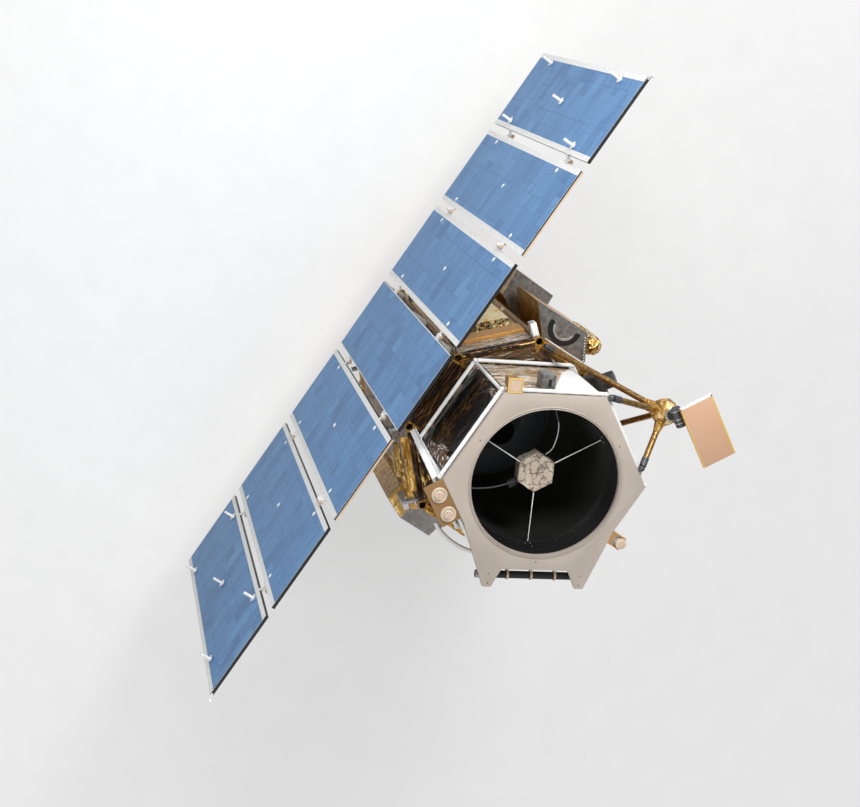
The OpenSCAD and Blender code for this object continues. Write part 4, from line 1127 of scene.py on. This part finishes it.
class SATELLITE_OT_antennas(bpy.types.Operator):
    """Domed, patch and round antennas, the sensor bracket and the torque rod's end fittings"""

    bl_idname = "satellite.antennas"
    bl_label = "Small antennas"

    def execute(self, context):
        self.domes()
        self.patch()
        self.round_antenna()
        rounded("antenna_shelf", 0.002, "bronze")
        rounded("sensor_bracket", 0.003, "grey")
        bm = bmesh.new()
        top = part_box("sensor_bracket")[1].z
        block(bm, (0.690, 0.015, top), (0.745, 0.040, top + 0.002), turned(30), 0.0006)
        finish_piece("sensor_slot", bm, "black")
        bm = bmesh.new()
        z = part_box("torque_rod")[0].z + 0.028
        for side in (-1, 1):
            place = turned(210, (0.7355, side * 0.40, z))
            lathe(bm,
                  [(0.0283, -0.020), (0.0305, -0.018), (0.0305, 0.018), (0.0283, 0.020), (0.0283, -0.020)],
                  place=place @ Matrix.Rotation(math.pi / 2, 4, "X"), steps=32)
        finish_piece("torque_rod_bands", bm, "aluminium", smooth=True)
        rounded("torque_rod_clamps", 0.002, "tan_tape")
        return {"FINISHED"}

    def domes(self):
        base = PLATE_Z
        cups, discs, screws = bmesh.new(), bmesh.new(), bmesh.new()
        for across in (-0.284, -0.125):
            place = turned(150, (0.7268, across, base))
            lathe(cups, [(0, 0), (0.0575, 0), (0.0580, 0.008), (0.0560, 0.014), (0.0520, 0.0172),
                         (0.0470, 0.0165), (0.0430, 0.0120), (0.0400, 0.0105), (0.0335, 0.0105),
                         (0.0330, 0.0235), (0.0315, 0.0275), (0.0280, 0.0295), (0, 0.0297)], place=place,
                  steps=64)
            lathe(discs, [(0, 0.0306), (0.0255, 0.0304), (0.0262, 0.0290), (0, 0.0290)], place=place,
                  steps=48)
            for k in range(3):
                lathe(screws, [(0, 0.0020), (0.0025, 0.0018), (0.0028, 0), (0, 0)],
                      place=place @ turned(120 * k + 40, (0.020, 0, 0.0300)), steps=10)
        made = finish_piece("domed_antennas_finished", cups, "cream", smooth=True)
        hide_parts("domed_antennas")
        finish_piece("domed_antenna_discs", discs, "tan_tape", smooth=True)
        finish_piece("domed_antenna_screws", screws, "charcoal")

    def patch(self):
        rounded("patch_antenna", 0.002, "gold")
        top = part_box("patch_antenna")[1].z
        bm = bmesh.new()
        block(bm, (0.667, 0.264, top), (0.751, 0.348, top + 0.0012), turned(30), 0.0005)
        finish_piece("patch_antenna_face", bm, "tan_tape")
        bm = bmesh.new()
        for low, high in (((0.655, 0.251), (0.764, 0.262)), ((0.655, 0.350), (0.764, 0.361)),
                          ((0.655, 0.262), (0.666, 0.350)), ((0.752, 0.262), (0.764, 0.350))):
            block(bm, (*low, top), (*high, top + 0.003), turned(30), 0.001)
        finish_piece("patch_antenna_rim", bm, "yellow_edge")

    def round_antenna(self):
        """The tray's silvered floor and the radome that stands in it."""
        low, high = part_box("omni_antenna")
        centre = (-0.067, low.y + 0.040, 0)
        floor = high.z - 0.038
        bm = bmesh.new()
        block(bm, (-0.108, low.y + 0.026, floor), (-0.026, low.y + 0.112, floor + 0.001), soft=0.0003)
        finish_piece("round_antenna_floor", bm, "radiator")
        bm = bmesh.new()
        lathe(bm, [(0.0402, floor + 0.001), (0.0430, floor + 0.001), (0.0430, high.z - 0.012),
                   (0.0415, high.z - 0.004), (0.0330, high.z + 0.001), (0.0, high.z + 0.0015),
                   (0.0, high.z + 0.0002), (0.0402, high.z + 0.0002), (0.0402, floor + 0.001)], centre,
              steps=56)
        finish_piece("round_antenna_dome", bm, "cream", smooth=True)
        bm = bmesh.new()
        lathe(bm, [(0, high.z + 0.0036), (0.0235, high.z + 0.0034), (0.0245, high.z + 0.0015),
                   (0, high.z + 0.0015)], centre, steps=40)
        finish_piece("round_antenna_cap", bm, "tan_tape", smooth=True)


class SATELLITE_OT_antenna_truss(bpy.types.Operator):
    """Foil-wrapped truss hub, strut cuffs, gimbal detail, antenna rim and star tracker"""

    bl_idname = "satellite.antenna_truss"
    bl_label = "Antenna truss"

    def execute(self, context):
        low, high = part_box("truss_hub")
        centre = (low + high) / 2
        bm = bmesh.new()
        radius = (high.x - low.x) / 2 + 0.006
        dice = random.Random(4)
        bmesh.ops.create_icosphere(bm, subdivisions=2, radius=radius, matrix=Matrix.Translation(centre))
        for v in bm.verts:
            v.co = centre + (v.co - centre) * (0.90 + 0.10 * dice.random())
        flat = [e for e in bm.edges if e.calc_face_angle(0) < 0.25]
        bmesh.ops.dissolve_edges(bm, edges=flat)
        bmesh.ops.triangulate(bm, faces=[f for f in bm.faces if len(f.verts) > 3])
        bmesh.ops.subdivide_edges(bm, edges=bm.edges[:], cuts=5, use_grid_fill=True)
        for v in bm.verts:
            v.co += (v.co - centre).normalized() * 0.004 * (crumple_height(v.co, 24.0, 6.0) - 1.0)
        made = finish_piece("truss_hub_foil", bm, "hub_gold")
        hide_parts("truss_hub")
        bm = bmesh.new()
        feet = [Vector((0.776, 0.262, 3.364)), Vector((0.7742, -0.0347, 4.276)),
                Vector((0.549, -0.549, 3.364)), Vector((0.4757, -0.5518, 4.276))]
        for foot in feet:
            run = (foot - centre).normalized()
            rod(bm, centre + run * 0.085, centre + run * 0.165, 0.042, SOCKET_R, 16)
        noise.seed_set(4)  # noise_vector is otherwise offset by the clock
        for v in bm.verts:
            v.co += Vector(noise.noise_vector(v.co * 40)) * 0.004
        finish_piece("truss_cuffs", bm, "gold")
        bm = bmesh.new()
        for foot in feet:
            run = (centre - foot).normalized()
            rod(bm, foot + run * 0.018, foot + run * 0.085, SOCKET_R)
        finish_piece("strut_sockets", bm, "dull_metal", smooth=True)
        cable("gimbal_cable", [centre + Vector((-0.02, -0.10, 0.03)), centre + Vector((0.02, -0.09, 0.085)),
                               centre + Vector((0.03, -0.03, 0.112)), centre + Vector((0.02, 0.02, 0.102))],
              0.005, "dull_metal")
        self.gimbal()
        self.antenna()
        rounded("star_tracker", 0.003, "charcoal")
        return {"FINISHED"}

    def gimbal(self):
        low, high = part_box("azimuth_drive")
        bm = bmesh.new()
        centre = ((low.x + high.x) / 2, (low.y + high.y) / 2, 0)
        r = (high.x - low.x) / 2
        lathe(bm, [(r, high.z - 0.022), (r + 0.004, high.z - 0.020), (r + 0.004, high.z - 0.014),
                   (r, high.z - 0.012), (r, high.z - 0.022)], centre, steps=40)
        finish_piece("azimuth_drive_band", bm, "aluminium", smooth=True)
        axis = joint("antenna_tilt")
        bm = bmesh.new()
        for along in (-0.052, -0.020, 0.046):
            place = Matrix.Translation(axis) @ Matrix.Rotation(BOOM, 4, "Z") @ Matrix.Rotation(-math.pi / 2,
                                                                                               4, "X")
            lathe(bm, [(0.040, along - 0.004), (0.0425, along - 0.003), (0.0425, along + 0.003),
                       (0.040, along + 0.004), (0.040, along - 0.004)], place=place, steps=40)
        finish_piece("elevation_drive_bands", bm, "aluminium", "antenna_azimuth",
                     smooth=True)

    def antenna(self):
        bm = bmesh.new()
        x0, x1, y0, y1 = 1.100, 1.356, -0.428, 0.068
        low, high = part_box("antenna_panel")
        place = Matrix.Rotation(BOOM, 4, "Z")
        block(bm, (x0, y0, low.z), (x1, y1, high.z), place, 0.002)
        face = finish_piece("antenna_slab", bm, "tan_face", "antenna_pointing", smooth=True)
        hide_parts("antenna_panel")
        bm = bmesh.new()
        t = 0.0012
        block(bm, (x0 - t, y0, low.z + 0.003), (x0, y1, high.z - 0.001), place, 0.0004)
        block(bm, (x1, y0, low.z + 0.003), (x1 + t, y1, high.z - 0.001), place, 0.0004)
        block(bm, (x0, y0 - t, low.z + 0.003), (x1, y0, high.z - 0.001), place, 0.0004)
        block(bm, (x1 - 0.013, y0 + 0.002, high.z), (x1, y1 - 0.002, high.z + 0.001), place, 0.0003)
        block(bm, (x0, y0 + 0.002, high.z), (x0 + 0.008, y1 - 0.002, high.z + 0.001), place, 0.0003)
        finish_piece("antenna_edge_gold", bm, "yellow_edge", "antenna_pointing")
        bm = bmesh.new()
        block(bm, (x0, y1, low.z + 0.003), (x1, y1 + t, high.z - 0.001), place, 0.0004)
        block(bm, (x0, y1 - 0.012, high.z), (x1, y1, high.z + 0.001), place, 0.0003)
        finish_piece("antenna_edge_white", bm, "white", "antenna_pointing")


class SATELLITE_OT_underside(bpy.types.Operator):
    """Adapter cone blanket and a rounded copy of the lower deck"""

    bl_idname = "satellite.underside"
    bl_label = "Underside"

    def execute(self, context):
        low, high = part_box("adapter_cone")
        bm = bmesh.new()
        steps = 26
        top_r, base_r = high.x, 0.572
        profile = []
        for k in range(steps + 1):
            t = k / steps
            profile.append((base_r + (top_r - base_r) * t + 0.0008, low.z + (high.z - low.z) * t))
        back = [(r - 0.0015, z) for r, z in reversed(profile)]
        lathe(bm, profile + back + profile[:1], steps=144)
        bm.normal_update()
        for v in bm.verts:
            r = math.hypot(v.co.x, v.co.y)
            rim = min(1.0, (v.co.z - low.z) * 12, (high.z - v.co.z) * 12)
            grow = 0.009 * rim * crumple_height(v.co, 8.0, 11.0)
            v.co.x, v.co.y = v.co.x * (r + grow) / r, v.co.y * (r + grow) / r
        finish_piece("adapter_blanket", bm, "amber", smooth=True)
        rounded("lower_deck", 0.003, "gold")
        return {"FINISHED"}


LAMPS = [("key", (6.2, 2.0, 8.8), 3.2, 590), ("side", (3.8, 5.4, 4.2), 2.6, 130),
         ("left", (-3.6, 4.2, 7.4), 3.0, 110), ("fill", (-6.5, -1.5, 11.0), 5.0, 170)]


class SATELLITE_OT_stage(bpy.types.Operator):
    """Floor, soft light and camera"""

    bl_idname = "satellite.stage"
    bl_label = "Stage"

    def execute(self, context):
        scene = context.scene
        bm = bmesh.new()
        bmesh.ops.create_grid(bm, x_segments=1, y_segments=1, size=300.0)
        bmesh.ops.translate(bm, vec=(0, 0, -0.001), verts=bm.verts)
        mesh = bpy.data.meshes.new("floor")
        bm.to_mesh(mesh)
        bm.free()
        floor = bpy.data.objects.new("floor", mesh)
        scene.collection.objects.link(floor)
        mesh.materials.append(self.floor_finish())
        world = bpy.data.worlds.new("studio")
        scene.world = world
        world.use_nodes = True
        tree = world.node_tree
        height = add(tree, "SeparateXYZ", {"Vector": add(tree, "TexCoord").outputs["Generated"]})
        room = graded(tree, height.outputs["Z"], [(0.0, "#7A7A7C"), (0.35, "#8E8E90"), (0.85, "#FFFFFF")])
        tree.links.new(room, tree.nodes["Background"].inputs["Color"])
        band = add(tree, "MapRange",
                   {"Value": height.outputs["Z"], "From Min": 0.30, "From Max": 0.02, "To Max": 3.6})
        backdrop = maths(tree, "MULTIPLY", self.seen(tree), band.outputs[0])
        level = maths(tree, "ADD", backdrop, 0.52)
        tree.links.new(level, tree.nodes["Background"].inputs["Strength"])
        for name, spot, size, power in LAMPS:
            lamp = bpy.data.lights.new(name, "AREA")
            lamp.shape, lamp.size, lamp.energy = "DISK", size, power
            made = bpy.data.objects.new(name, lamp)
            scene.collection.objects.link(made)
            made.location = spot
            made.rotation_euler = (Vector((0.3, 0.4,
                                           2.6)) - Vector(spot)).to_track_quat("-Z", "Y").to_euler()
        self.camera(scene)
        scene.view_settings.view_transform = "Standard"
        return {"FINISHED"}

    def floor_finish(self):
        """Matt white studio paper."""
        material, tree, shader, spot = surface("matt_studio_paper", 0.95)
        grain = cloud(tree, spot, 3.0, 3.0)
        ramp = graded(tree, grain.outputs["Fac"], [(0.3, "#B0B0B0"), (0.7, "#B4B4B4")])
        coat(tree, shader, ramp)
        shader.inputs["Specular IOR Level"].default_value = 0.0
        shader.inputs["Emission Color"].default_value = (1.0, 1.0, 1.0, 1.0)
        away = add(tree, "VectorMath", {0: spot}, operation="LENGTH")
        paler = add(tree, "MapRange", {"Value": away.outputs["Value"], "From Min": 4.0, "From Max": 16.0,
                                       "To Min": 0.46, "To Max": 0.66})
        glow = maths(tree, "MULTIPLY", self.seen(tree), paler.outputs[0])
        tree.links.new(glow, shader.inputs["Emission Strength"])
        return material

    def seen(self, tree):
        """1 for rays that see the backdrop straight, in gloss or through glass."""
        path = add(tree, "LightPath")
        both = maths(tree, "ADD", path.outputs["Is Camera Ray"], path.outputs["Is Glossy Ray"])
        return maths(tree, "ADD", both, path.outputs["Is Transmission Ray"])

    def camera(self, scene):
        view = bpy.data.cameras.new("view")
        view.sensor_width = 36.0
        view.lens = 69.28
        view.shift_x, view.shift_y = -0.0043, 0.0036
        view.clip_end = 200.0
        made = bpy.data.objects.new("view", view)
        scene.collection.objects.link(made)
        right = Vector((0.576, -0.794, 0.195))
        back = Vector((0.104, 0.308, 0.946)).normalized()
        right = (right - back * right.dot(back)).normalized()
        up = back.cross(right)
        place = Matrix((right, up, back)).transposed().to_4x4()
        place.translation = (1.221, 4.589, 15.244)
        made.matrix_world = place
        scene.camera = made


class SATELLITE_PT_panel(bpy.types.Panel):
    """Lists the satellite's pieces"""

    bl_label = "Imaging Satellite"
    bl_idname = "SATELLITE_PT_panel"
    bl_space_type = "VIEW_3D"
    bl_region_type = "UI"
    bl_category = "Satellite"

    def draw(self, context):
        for group in (context.scene.satellite_sizes, context.scene.satellite_colours):
            for key in group.__annotations__:
                self.layout.prop(group, key)
        for operator in OPERATORS:
            self.layout.operator(operator.bl_idname)


OPERATORS = (SATELLITE_OT_stage, SATELLITE_OT_finishes, SATELLITE_OT_solar_array, SATELLITE_OT_front_plate,
             SATELLITE_OT_telescope, SATELLITE_OT_shroud, SATELLITE_OT_bus, SATELLITE_OT_equipment,
             SATELLITE_OT_antennas, SATELLITE_OT_antenna_truss, SATELLITE_OT_underside)
CLASSES = (SatelliteColours, SatelliteSizes, *OPERATORS, SATELLITE_PT_panel)


def register():
    for made in CLASSES:
        bpy.utils.register_class(made)
    bpy.types.Scene.satellite_colours = PointerProperty(type=SatelliteColours)
    bpy.types.Scene.satellite_sizes = PointerProperty(type=SatelliteSizes)


def unregister():
    del bpy.types.Scene.satellite_sizes
    del bpy.types.Scene.satellite_colours
    for made in reversed(CLASSES):
        bpy.utils.unregister_class(made)


def main():
    register()
    for operator in OPERATORS:
        group, name = operator.bl_idname.split(".")
        getattr(getattr(bpy.ops, group), name)()
    bpy.context.view_layer.update()


if __name__ == "__main__":
    main()
